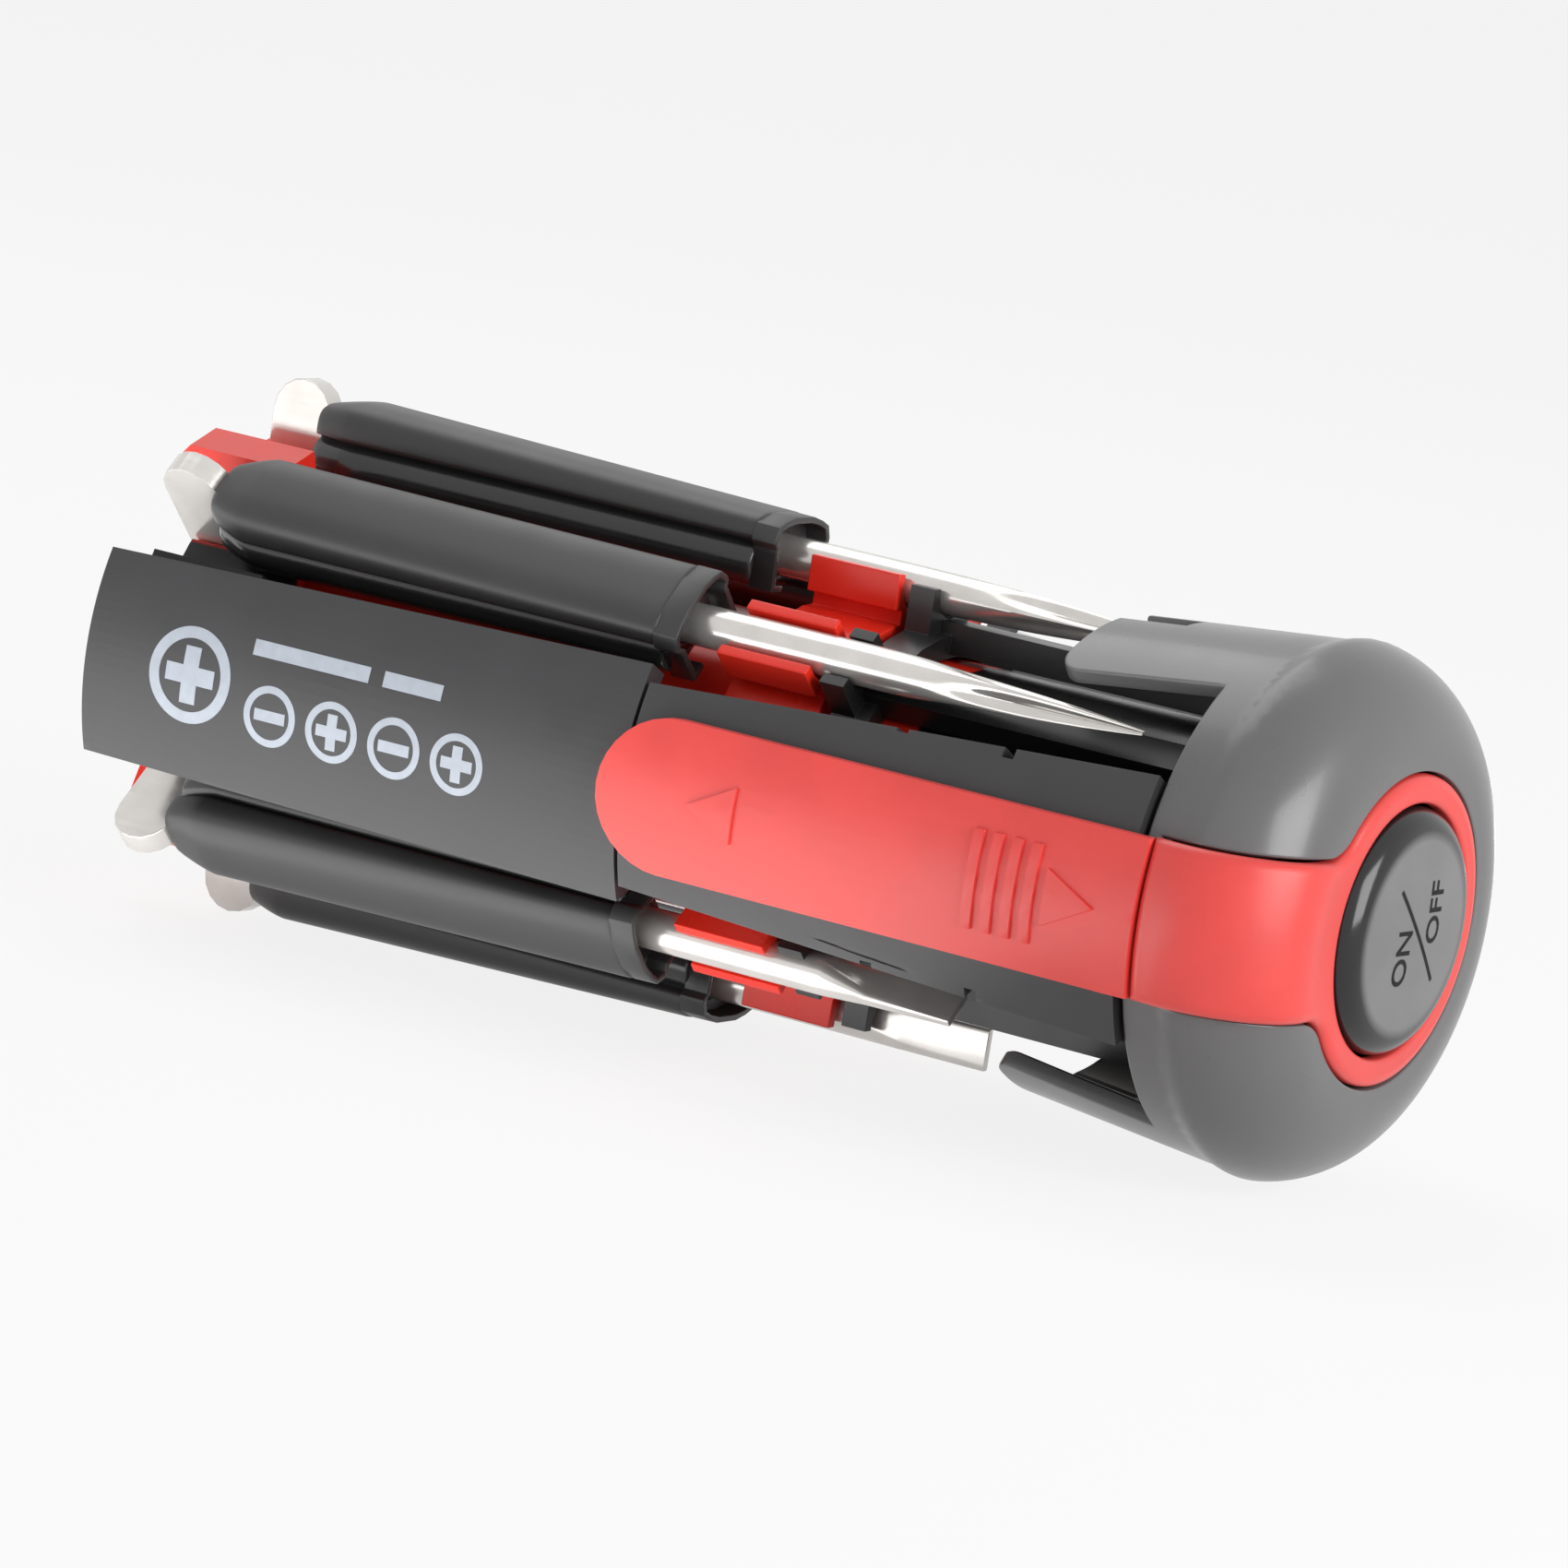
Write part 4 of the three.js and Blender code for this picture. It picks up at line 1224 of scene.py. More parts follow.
@dataclass
class PanelPrint:
    """Printed signs on the left panel: a large cross recess, bars and four small screw heads."""

    bench: Bench
    lift: float = 0.03 * MM
    film: float = 0.06 * MM
    cell: float = 0.8 * MM
    large: float = 4.6 * MM
    small: float = 2.9 * MM
    ring_share: float = 0.24
    ring_steps: int = 56
    ring_rows: int = 2
    arm_share: float = 0.375
    recess_inset: float = 1.7
    large_station: float = 12.0 * MM
    row_start: float = 21.4 * MM
    row_pitch: float = 7.0 * MM
    row_arc: float = -2.0 * MM
    bar_arc: float = 4.1 * MM
    bar_height: float = 1.5 * MM
    bar_lengths: tuple[float, ...] = (13.0 * MM, 6.5 * MM)
    bar_gap: float = 1.6 * MM
    heads: tuple[ScrewHead, ...] = (ScrewHead.SLOT, ScrewHead.CROSS, ScrewHead.SLOT, ScrewHead.CROSS)

    def on_panel(self, along: float, arc: float, lift: float) -> Vector:
        """Gives a point above the panel's skin by station and arc, upwards from the middle line."""
        radius = PANEL.radius_at(along)
        return AXIS.point(along, radius + lift, math.degrees(arc / radius))

    def patch(self, mesh: BMesh, columns: int, rows: int,
              place: Callable[[float, float], tuple[float, float]], closed: bool = False) -> None:
        """Adds one film of ink as a grid with a top, an underside and a rim.

        Args:
            mesh: the mesh that takes it.
            columns: cells along the first share.
            rows: cells along the second share.
            place: gives station and arc from the two shares.
            closed: the first share runs round a ring.
        """
        count = columns if closed else columns + 1
        layers = []
        for lift in (self.lift, self.lift - self.film):
            layers.append([[mesh.verts.new(self.on_panel(*place(i / columns, j / rows), lift))
                            for j in range(rows + 1)] for i in range(count)])
        top, under = layers
        for i in range(columns):
            after = (i + 1) % count
            for j in range(rows):
                mesh.faces.new((top[i][j], top[after][j], top[after][j + 1], top[i][j + 1]))
                mesh.faces.new((under[i][j + 1], under[after][j + 1], under[after][j], under[i][j]))
            for j in (0, rows):
                mesh.faces.new((top[i][j], under[i][j], under[after][j], top[after][j]))
        if not closed:
            for i in (0, columns):
                for j in range(rows):
                    mesh.faces.new((top[i][j], top[i][j + 1], under[i][j + 1], under[i][j]))

    def bar(self, mesh: BMesh, along: float, arc: float, length: float, height: float) -> None:
        """Adds a rectangle of ink.

        Args:
            mesh: the mesh that takes it.
            along: station of its middle.
            arc: arc of its middle.
            length: size along the tool.
            height: size round the panel.
        """
        columns = max(1, math.ceil(length / self.cell))
        rows = max(1, math.ceil(height / self.cell))
        self.patch(mesh, columns, rows,
                   lambda u, v: (along + (u - 0.5) * length, arc + (v - 0.5) * height))

    def round_spot(self, along: float, arc: float, radius: float, share: float) -> tuple[float, float]:
        """Gives station and arc of a point on a circle, by its share of the turn."""
        turn = share * 2 * math.pi
        return along + radius * math.cos(turn), arc + radius * math.sin(turn)

    def ring(self, mesh: BMesh, along: float, arc: float, outer: float, inner: float) -> None:
        """Adds a ring of ink.

        Args:
            mesh: the mesh that takes it.
            along: station of its middle.
            arc: arc of its middle.
            outer: outer radius.
            inner: inner radius.
        """
        self.patch(mesh, self.ring_steps, self.ring_rows,
                   lambda u, v: self.round_spot(along, arc, inner + (outer - inner) * v, u), closed=True)

    def head(self, mesh: BMesh, along: float, arc: float, radius: float, kind: ScrewHead) -> None:
        """Adds a screw head seen from above.

        Args:
            mesh: the mesh that takes it.
            along: station of its middle.
            arc: arc of its middle.
            radius: outer radius.
            kind: its recess.
        """
        rim = radius * self.ring_share
        self.ring(mesh, along, arc, radius, radius - rim)
        arm = radius * self.arm_share
        reach = 2 * (radius - self.recess_inset * rim)
        self.bar(mesh, along, arc, reach, arm)
        if kind is ScrewHead.CROSS:
            half = (reach - arm) / 2
            for way in (1, -1):
                self.bar(mesh, along, arc + way * (arm + half) / 2, arm, half)

    def build(self) -> Object:
        """Makes all signs as one film of ink."""
        mesh = bmesh.new()
        self.head(mesh, self.large_station, 0.0, self.large, ScrewHead.CROSS)
        for index, kind in enumerate(self.heads):
            self.head(mesh, self.row_start + index * self.row_pitch, self.row_arc, self.small, kind)
        start = self.row_start - self.small
        for length in self.bar_lengths:
            self.bar(mesh, start + length / 2, self.bar_arc, length, self.bar_height)
            start += length + self.bar_gap
        return self.bench.piece(mesh, "panel_signs")

    def dress(self) -> None:
        """Puts the print on the left panel."""
        body = self.bench.body_of["side_panel_left"]
        self.bench.fit(self.build(), body, "panel_plastic", "print_pale")


@dataclass
class LockSlide:
    """Lock ring with its saddles and the thumb slider."""

    bench: Bench
    ring_edge: float = 0.25 * MM
    ring_segments: int = 3
    slider_edge: float = 0.3 * MM
    slider_skin: float = 26.185 * MM
    tolerance: float = 0.1 * MM

    def settle_slider(self, point: Vector) -> Vector:
        """Brings a point of the slider's outer skin to its cylinder."""
        return AXIS.settled(point, self.slider_skin, self.tolerance)

    def build_ring(self) -> Object:
        """Makes the lock ring with moulded edges."""
        return self.bench.moulded("lock_ring", "saddle_ring", self.ring_edge, self.ring_segments)

    def build_slider(self) -> Object:
        """Makes the slider with its raised marks."""
        return self.bench.moulded("slider", "thumb_slider", self.slider_edge, settle=self.settle_slider)

    def dress(self) -> None:
        """Dresses ring and slider."""
        self.bench.stand_for(self.build_ring(), "lock_ring")
        self.bench.stand_for(self.build_slider(), "slider")


@dataclass
class BitRack:
    """Dark rack with clips and rails under the bare rods."""

    bench: Bench
    edge: float = 0.2 * MM

    def build(self) -> Object:
        """Makes the rack with moulded edges."""
        return self.bench.moulded("bit_rack", "rack", self.edge)

    def dress(self) -> None:
        """Puts the rack in place of its solid."""
        self.bench.stand_for(self.build(), "bit_rack", "rack_plastic")


def polar(along: float, angle: float) -> Vector:
    """Gives a point of the cap's flat plan by length over the skin and angle in degrees."""
    turn = math.radians(angle)
    return Vector((-along * math.cos(turn), along * math.sin(turn)))


def encloses(loop: Loop, point: Vector) -> bool:
    """Tells whether a closed outline runs round a point.

    Args:
        loop: the outline.
        point: a flat point.

    Returns:
        True where the point lies inside.
    """
    inside = False
    before = loop[-1]
    for corner in loop:
        if (corner.y > point.y) != (before.y > point.y):
            share = (point.y - corner.y) / (before.y - corner.y)
            inside ^= point.x < corner.x + share * (before.x - corner.x)
        before = corner
    return inside


def level(height: float) -> Height:
    """Gives the same height everywhere."""
    return lambda flat: height


def lowered(height: Height, drop: float) -> Height:
    """Gives another height less a fixed drop."""
    return lambda flat: height(flat) - drop


@dataclass(frozen=True)
class CapForm:
    """Outer skin of the rear cap, laid out flat by its length from the axis, and the outlines on it."""

    radius: float = 25.0 * MM
    taper: float = 0.1
    fillet: float = 9.2 * MM
    depth: float = 9.8 * MM
    collar: float = 4.4 * MM
    tab_reach: float = 21.8 * MM
    tab_half: float = 13.6 * MM
    tab_middles: tuple[float, ...] = (90.0, 270.0)
    tab_corner: float = 2.4 * MM
    slot_half: float = 2.7 * MM
    slot_end: float = 15.0 * MM
    ring: float = 14.3 * MM
    hole: float = 11.7 * MM
    leg_half: float = 7.2 * MM
    leg_fillet: float = 5.0 * MM
    leg_reach: float = 2.7 * MM
    dome_start: float = 117.8 * MM
    circle_steps: int = 110
    ring_steps: int = 100
    fillet_steps: int = 10
    leg_steps: int = 20
    leg_end_steps: int = 16
    rim_steps: int = 70
    tab_steps: int = 16
    tab_end_steps: int = 8
    corner_steps: int = 8
    slot_steps: int = 9
    slot_end_steps: int = 4

    @property
    def flat_radius(self) -> float:
        """Radius of the flat end."""
        return self.radius - self.fillet

    @property
    def bend(self) -> float:
        """Mean radius of the rounding between the flat end and the side."""
        return (self.fillet + self.depth) / 2

    @property
    def shoulder(self) -> float:
        """Length over the skin from the axis to the start of the dome."""
        return self.flat_radius + self.bend * math.pi / 2

    def line(self, along: float) -> tuple[float, float, float, float]:
        """Follows the skin outwards from the axis.

        Args:
            along: length over the skin.

        Returns:
            Radius, station, and the outward and rearward parts of the skin's normal.
        """
        if along <= self.flat_radius:
            return along, self.dome_start + self.depth, 0.0, 1.0
        if along < self.shoulder:
            turn = (along - self.flat_radius) / self.bend
            out, back = math.sin(turn) / self.fillet, math.cos(turn) / self.depth
            size = math.hypot(out, back)
            return (self.flat_radius + self.fillet * math.sin(turn),
                    self.dome_start + self.depth * math.cos(turn), out / size, back / size)
        forward = along - self.shoulder
        size = math.hypot(1.0, self.taper)
        radius = self.radius - self.taper * forward
        return radius, self.dome_start - forward, 1 / size, -self.taper / size

    def along_of(self, radius: float) -> float:
        """Gives the length over the flat end and the dome.

        Args:
            radius: distance from the axis.

        Returns:
            The length over the skin from the axis to that radius.
        """
        if radius <= self.flat_radius:
            return radius
        share = min(1.0, (radius - self.flat_radius) / self.fillet)
        return self.flat_radius + self.bend * math.asin(share)

    def spot(self, flat: Vector, lift: float) -> Vector:
        """Brings a point of the flat plan to the cap.

        Args:
            flat: the flat point.
            lift: height above the skin.

        Returns:
            The point in the shared frame.
        """
        radius, station, out, back = self.line(flat.length)
        angle = math.degrees(math.atan2(flat.y, -flat.x))
        return AXIS.point(station + back * lift, radius + out * lift, angle)

    def leg_spot(self, along: float, half: float) -> Vector:
        """Gives the flat point on the leg's edge, half a width above its middle line."""
        return polar(along, math.degrees(math.asin(half / self.line(along)[0])))

    def circle(self, radius: float) -> Loop:
        """Gives a circle round the button."""
        return [polar(radius, angle) for angle in spaced(0.0, 360.0, self.circle_steps)[:-1]]

    def trim_loop(self, extra: float) -> Loop:
        """Gives the trim's outline: a ring, and a leg that joins it with hollow fillets.

        Args:
            extra: how far the outline is set out.

        Returns:
            The closed outline.
        """
        fillet = self.leg_fillet - extra
        up = self.leg_half + self.leg_fillet
        out = math.sqrt((self.ring + self.leg_fillet) ** 2 - up ** 2)
        tangent = math.degrees(math.atan2(up, out))
        turns = spaced(tangent, 360 - tangent, self.ring_steps)
        ring = [polar(self.ring + extra, angle) for angle in turns]
        lower = []
        for angle in spaced(tangent, 90.0, self.fillet_steps)[1:]:
            turn = math.radians(angle)
            point = Vector((fillet * math.cos(turn) - out, fillet * math.sin(turn) - up))
            lower.append(point * (self.along_of(point.length) / point.length))
        half = self.leg_half + extra
        end = self.shoulder + self.leg_reach + extra
        edge = spaced(self.along_of(math.hypot(out, half)), end, self.leg_steps)[1:]
        lower += [self.leg_spot(along, -half) for along in edge]
        front = [self.leg_spot(end, across) for across in spaced(-half, half, self.leg_end_steps)[1:-1]]
        upper = [Vector((point.x, -point.y)) for point in reversed(lower)]
        return ring + lower + front + upper

    def tab_line(self, inset: float) -> list[tuple[float, float]]:
        """Gives one tab's outline with its slot.

        Args:
            inset: how far the outline is drawn in.

        Returns:
            Offset from the tab's middle plane and distance in front of the dome of each point.
        """
        half, front = self.tab_half - inset, self.tab_reach - inset
        corner, slot = self.tab_corner - inset, self.slot_half + inset
        end = self.slot_end - inset
        line = [(-half, reach) for reach in spaced(self.collar - inset, front - corner, self.tab_steps)]
        for turn in spaced(0.0, math.pi / 2, self.corner_steps)[1:]:
            line.append((corner - half - corner * math.cos(turn),
                         front - corner + corner * math.sin(turn)))
        line += [(across, front) for across in spaced(corner - half, -slot, self.tab_end_steps)[1:]]
        line += [(-slot, reach) for reach in spaced(front, end, self.slot_steps)[1:]]
        line += [(across, end) for across in spaced(-slot, 0.0, self.slot_end_steps)[1:]]
        return line + [(-across, reach) for across, reach in reversed(line[:-1])]

    def cap_loop(self, inset: float) -> Loop:
        """Gives the cap's front edge: the collar with a tab above and below.

        Args:
            inset: how far the edge is drawn in.

        Returns:
            The closed outline.
        """
        loop: Loop = []
        rim = self.shoulder + self.collar - inset
        spread = math.degrees(math.asin((self.tab_half - inset) / self.line(rim)[0]))
        for middle in self.tab_middles:
            turns = spaced(middle - 180 + spread, middle - spread, self.rim_steps)
            loop += [polar(rim, angle) for angle in turns[1:-1]]
            for across, reach in self.tab_line(inset):
                along = self.shoulder + reach
                turn = math.degrees(math.asin(across / self.line(along)[0]))
                loop.append(polar(along, middle + turn))
        return loop


@dataclass(frozen=True)
class Rim:
    """One line round a plate: its flat outline and its height above the cap's skin."""

    loop: Loop
    height: Height


@dataclass
class SkinPlate:
    """A plate that follows the cap's skin: an even top, rounded rims and an underside."""

    bench: Bench
    form: CapForm
    spacing: float = 1.0 * MM
    row_share: float = math.sqrt(0.75)
    clear_share: float = 0.55
    probe: float = 0.02 * MM
    weld: float = 1e-7

    def scatter(self, loops: Loop) -> Loop:
        """Spreads points evenly over the plan, clear of the outlines.

        Args:
            loops: all points of the outlines.

        Returns:
            The points.
        """
        near = KDTree(len(loops))
        for index, point in enumerate(loops):
            near.insert(point.to_3d(), index)
        near.balance()
        pitch = self.spacing * self.row_share
        reach = max(point.length for point in loops)
        rows, columns = math.ceil(reach / pitch), math.ceil(reach / self.spacing)
        points = []
        for row in range(-rows, rows + 1):
            for column in range(-columns, columns + 1):
                point = Vector(((column + row % 2 / 2) * self.spacing, row * pitch))
                if near.find(point.to_3d())[2] > self.clear_share * self.spacing:
                    points.append(point)
        return points

    def normal(self, flat: Vector, height: Height) -> Vector:
        """Gives the true normal of a skin at some height over the cap.

        Args:
            flat: the flat point.
            height: the skin's height.

        Returns:
            The unit normal, outwards.
        """
        steps = []
        for way in (Vector((self.probe, 0.0)), Vector((0.0, self.probe))):
            ahead, behind = flat + way, flat - way
            steps.append(self.form.spot(ahead, height(ahead)) - self.form.spot(behind, height(behind)))
        normal = steps[0].cross(steps[1]).normalized()
        outwards = self.form.spot(flat, self.probe) - self.form.spot(flat, 0.0)
        return normal if normal.dot(outwards) > 0 else -normal

    def face(self, mesh: BMesh, outer: Rim, hole: Rim, polished: bool) -> list[list[BMVert]]:
        """Fills the space between an outer line and a hole.

        Args:
            mesh: the mesh that takes the faces.
            outer: the outer line, whose height holds for all points.
            hole: the line round the hole.
            polished: the face is shaded by its true normals.

        Returns:
            The points of the outer line and of the hole.
        """
        layers = mesh.verts.layers.float_vector
        skin = layers.get(SKIN) or layers.new(SKIN)
        loops = [*outer.loop, *hole.loop]
        count = len(outer.loop)
        edges = [(index, (index + 1) % count) for index in range(count)]
        inner = len(hole.loop)
        edges += [(count + index, count + (index + 1) % inner) for index in range(inner)]
        points = loops + self.scatter(loops)
        flat, _, faces, sources, *_ = delaunay_2d_cdt(points, edges, [], FILL_KIND, self.weld)
        made: dict[int, BMVert] = {}
        for corners in faces:
            middle = sum((flat[index] for index in corners), Vector((0.0, 0.0))) / len(corners)
            if encloses(hole.loop, middle):
                continue
            for index in corners:
                if index not in made:
                    made[index] = mesh.verts.new(self.form.spot(flat[index], outer.height(flat[index])))
                    if polished:
                        made[index][skin] = self.normal(flat[index], outer.height)
            mesh.faces.new([made[index] for index in corners])
        place = {source: index for index, group in enumerate(sources) for source in group}
        line = [made[place[index]] for index in range(len(loops))]
        return [line[:count], line[count:]]

    def build(self, mesh: BMesh, outer: list[Rim], hole: list[Rim]) -> None:
        """Makes the plate from its lines, listed from the top down.

        Args:
            mesh: the mesh that takes the plate.
            outer: the lines round its outer edge.
            hole: the lines round its hole.
        """
        top = self.face(mesh, outer[0], hole[0], True)
        under = self.face(mesh, outer[-1], hole[-1], False)
        for rims, first, last in zip((outer, hole), top, under):
            rows = [first]
            for rim in rims[1:-1]:
                spots = [self.form.spot(point, rim.height(point)) for point in rim.loop]
                rows.append([mesh.verts.new(spot) for spot in spots])
            rows.append(last)
            for row, after in zip(rows, rows[1:]):
                self.bench.bridge(mesh, row, after)


@dataclass
class RearCap:
    """Domed rear cap with slotted tabs, and the red trim round the button.

    The roundings of the trim list inset and drop of each line, in millimetres.
    """

    bench: Bench
    form: CapForm = field(default_factory=CapForm)
    wall: float = 2.2 * MM
    seam: float = 0.25 * MM
    collar_drop: float = 0.5 * MM
    step_lead: float = 1.6 * MM
    step_length: float = 2.4 * MM
    edge: float = 0.25 * MM
    edge_share: float = 0.3
    bulkhead_hole: float = 10.0 * MM
    bulkhead: float = 2.0 * MM
    trim_proud: float = 1.2 * MM
    ring_proud: float = 0.4 * MM
    trim_depth: float = 0.9 * MM
    rise_start: float = 12.6 * MM
    rise_length: float = 8.0 * MM
    rim_round: Pairs = ((1.1, 0.0), (0.62, 0.1), (0.26, 0.32), (0.06, 0.62), (0.0, 0.95))
    hole_round: Pairs = ((0.5, 0.0), (0.25, 0.06), (0.07, 0.2), (0.0, 0.4))
    trim_spacing: float = 0.8 * MM
    cap_smooth: float = 40.0
    trim_smooth: float = 50.0

    def trim_height(self, flat: Vector) -> float:
        """Gives the trim's height above the cap: low round the button, higher along the leg."""
        share = eased((flat.length - self.rise_start) / self.rise_length)
        return self.ring_proud + (self.trim_proud - self.ring_proud) * share

    def cap_height(self, flat: Vector) -> float:
        """Gives the cap's own relief: the collar and the tabs lie a little lower than the dome."""
        ahead = flat.length - self.form.shoulder + self.step_lead
        return -self.collar_drop * eased(ahead / self.step_length)

    def build_cap(self) -> Object:
        """Makes the cap with its dome, tabs, opening for the trim and bulkhead."""
        mesh = bmesh.new()
        edge, form = self.edge, self.form
        outer, hole = [], []
        for inset, drop in ((edge, 0.0), (self.edge_share * edge, self.edge_share * edge), (0.0, edge)):
            height = lowered(self.cap_height, drop)
            outer.append(Rim(form.cap_loop(inset), height))
            hole.append(Rim(form.trim_loop(self.seam + inset), height))
        outer.append(Rim(form.cap_loop(0.0), level(edge - self.wall)))
        outer.append(Rim(form.cap_loop(edge), level(-self.wall)))
        hole.append(Rim(form.trim_loop(self.seam), level(-self.wall)))
        SkinPlate(self.bench, form).build(mesh, outer, hole)
        front = form.dome_start - form.collar + edge
        back = front + self.bulkhead
        inside = form.radius - form.taper * form.collar - self.wall / 2
        corner = (self.bulkhead_hole, front)
        profile = [corner, (inside, front), (inside, back), (self.bulkhead_hole, back), corner]
        self.bench.revolve(mesh, profile)
        bmesh.ops.remove_doubles(mesh, verts=mesh.verts, dist=FINE_WELD)
        return self.bench.piece(mesh, "cap", smooth=self.cap_smooth)

    def build_trim(self) -> Object:
        """Makes the trim with a rounded rim."""
        mesh = bmesh.new()
        form = self.form
        outer = [Rim(form.trim_loop(-inset * MM), lowered(self.trim_height, drop * MM))
                 for inset, drop in self.rim_round]
        hole = [Rim(form.circle(form.hole + inset * MM), lowered(self.trim_height, drop * MM))
                for inset, drop in self.hole_round]
        outer.append(Rim(form.trim_loop(0.0), level(-self.trim_depth)))
        hole.append(Rim(form.circle(form.hole), level(-self.trim_depth)))
        SkinPlate(self.bench, form, spacing=self.trim_spacing).build(mesh, outer, hole)
        return self.bench.piece(mesh, "trim", smooth=self.trim_smooth)

    def dress(self) -> None:
        """Dresses cap and trim."""
        self.bench.stand_for(self.build_cap(), "rear_cap")
        self.bench.stand_for(self.build_trim(), "trim_bridge")


@dataclass(frozen=True)
class Word:
    """One word on the button: its text and the place of its middle."""

    text: str
    along: float
    up: float


@dataclass
class PowerButton:
    """Push button with its lettering, spring and switch."""

    bench: Bench
    radius: float = 11.4 * MM
    foot: float = 6.0 * MM
    seat: float = 4.5 * MM
    plunger: float = 3.6 * MM
    skirt: float = 6.4 * MM
    proud: float = 0.4 * MM
    edge_width: float = 2.5 * MM
    edge_drop: float = 2.2 * MM
    edge_steps: int = 10
    crown: float = 0.7 * MM
    crown_radius: float = 10.7 * MM
    crown_steps: int = 12
    smooth: float = 50.0
    letter: float = 2.4 * MM
    letter_steps: int = 4
    stroke: float = 0.05 * MM
    font_share: float = 1.4
    lift: float = 0.03 * MM
    ink: float = 0.05 * MM
    words: tuple[Word, ...] = (
        Word("ON", -1.9 * MM, 2.5 * MM),
        Word("OFF", 2.1 * MM, -2.5 * MM),
    )
    slash_length: float = 12.0 * MM
    slash_width: float = 0.42 * MM
    slash_lean: float = 46.0
    slash_steps: int = 8
    top: float = field(init=False)

    def __post_init__(self) -> None:
        """Finds the top of the button."""
        self.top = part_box("power_button")[1].x - AXIS.panel_front + self.proud

    def crown_at(self, radius: float) -> float:
        """Gives the station of the button's crown at a radius."""
        share = radius / self.crown_radius
        return self.top - self.crown * share * share

    def on_crown(self, along: float, up: float) -> Vector:
        """Gives a point just above the crown; writing runs upwards, with its tops to the left flank."""
        station = self.crown_at(math.hypot(along, up)) + self.lift
        return Vector((AXIS.panel_front + station, AXIS.y - up, AXIS.z + along))

    def build_button(self) -> Object:
        """Makes the button with a crown, a wide rounded edge and a seat for the spring below."""
        inner = self.radius - self.edge_width
        edge = self.crown_at(inner) - self.edge_drop
        foot, seat = self.top - self.foot, self.top - self.seat
        profile = [(0.0, foot), (self.plunger, foot), (self.plunger, seat), (self.skirt, seat)]
        profile += [(self.skirt, foot), (self.radius, foot)]
        for turn in spaced(0.0, math.pi / 2, self.edge_steps):
            profile.append((inner + self.edge_width * math.cos(turn),
                            edge + self.edge_drop * math.sin(turn)))
        radii = spaced(inner, 0.0, self.crown_steps)[1:]
        profile += [(radius, self.crown_at(radius)) for radius in radii]
        mesh = bmesh.new()
        self.bench.revolve(mesh, profile)
        return self.bench.piece(mesh, "button", smooth=self.smooth, even=False)

    def flat_word(self, text: str) -> tuple[list[Vector], list[tuple[int, ...]]]:
        """Draws a word flat, with its middle at zero.

        Args:
            text: the word.

        Returns:
            Its points and faces.
        """
        curve = bpy.data.curves.new("word", "FONT")
        curve.body = text
        curve.size = self.letter * self.font_share
        curve.resolution_u = self.letter_steps
        curve.offset = self.stroke
        drawn = bpy.data.objects.new("word", curve)
        bpy.context.scene.collection.objects.link(drawn)
        evaluated = drawn.evaluated_get(bpy.context.evaluated_depsgraph_get())
        data = bpy.data.meshes.new_from_object(evaluated)
        points = [vertex.co.copy() for vertex in data.vertices]
        faces = [tuple(face.vertices) for face in data.polygons]
        bpy.data.objects.remove(drawn)
        bpy.data.curves.remove(curve)
        bpy.data.meshes.remove(data)
        low = Vector((min(point.x for point in points), min(point.y for point in points), 0.0))
        high = Vector((max(point.x for point in points), max(point.y for point in points), 0.0))
        return [point - (low + high) / 2 for point in points], faces

    def lay_word(self, mesh: BMesh, word: Word) -> None:
        """Lays a word on the crown.

        Args:
            mesh: the mesh that takes it.
            word: the word.
        """
        points, faces = self.flat_word(word.text)
        places = [self.on_crown(word.along + point.x, word.up + point.y) for point in points]
        made = [mesh.verts.new(place) for place in places]
        for face in faces:
            mesh.faces.new([made[index] for index in face])

    def lay_slash(self, mesh: BMesh) -> None:
        """Lays the slash between the words.

        Args:
            mesh: the mesh that takes it.
        """
        turn = math.radians(self.slash_lean)
        along = Vector((math.sin(turn), math.cos(turn)))
        side = Vector((along.y, -along.x)) * self.slash_width / 2
        rows = []
        for offset in spaced(-self.slash_length / 2, self.slash_length / 2, self.slash_steps):
            middle = along * offset
            rows.append([mesh.verts.new(self.on_crown(*(middle + side * way))) for way in (1, -1)])
        for row, after in zip(rows, rows[1:]):
            mesh.faces.new((row[0], after[0], after[1], row[1]))

    def build_letters(self) -> Object:
        """Makes ON, a slash and OFF as one film of ink."""
        mesh = bmesh.new()
        for word in self.words:
            self.lay_word(mesh, word)
        self.lay_slash(mesh)
        bmesh.ops.solidify(mesh, geom=mesh.faces[:], thickness=self.ink)
        return self.bench.piece(mesh, "button_words")

    def dress(self) -> None:
        """Dresses the button, its words, the spring and the switch."""
        # The button's finish paints a dark reflection on its polished edge.
        self.bench.stand_for(self.build_button(), "power_button", "button_plastic_painted_reflection")
        body = self.bench.body_of["power_button"]
        self.bench.fit(self.build_letters(), body, "cap_plastic", "print_black")
        self.bench.keep("button_spring")
        self.bench.keep("switch_body", "rack_plastic")


@dataclass(frozen=True)
class Lamp:
    """A square soft lamp: place and target from the aimed point, side length and watts."""

    name: str
    place: Triple
    size: float
    power: float
    target: Triple = (0.0, 0.0, 0.0)


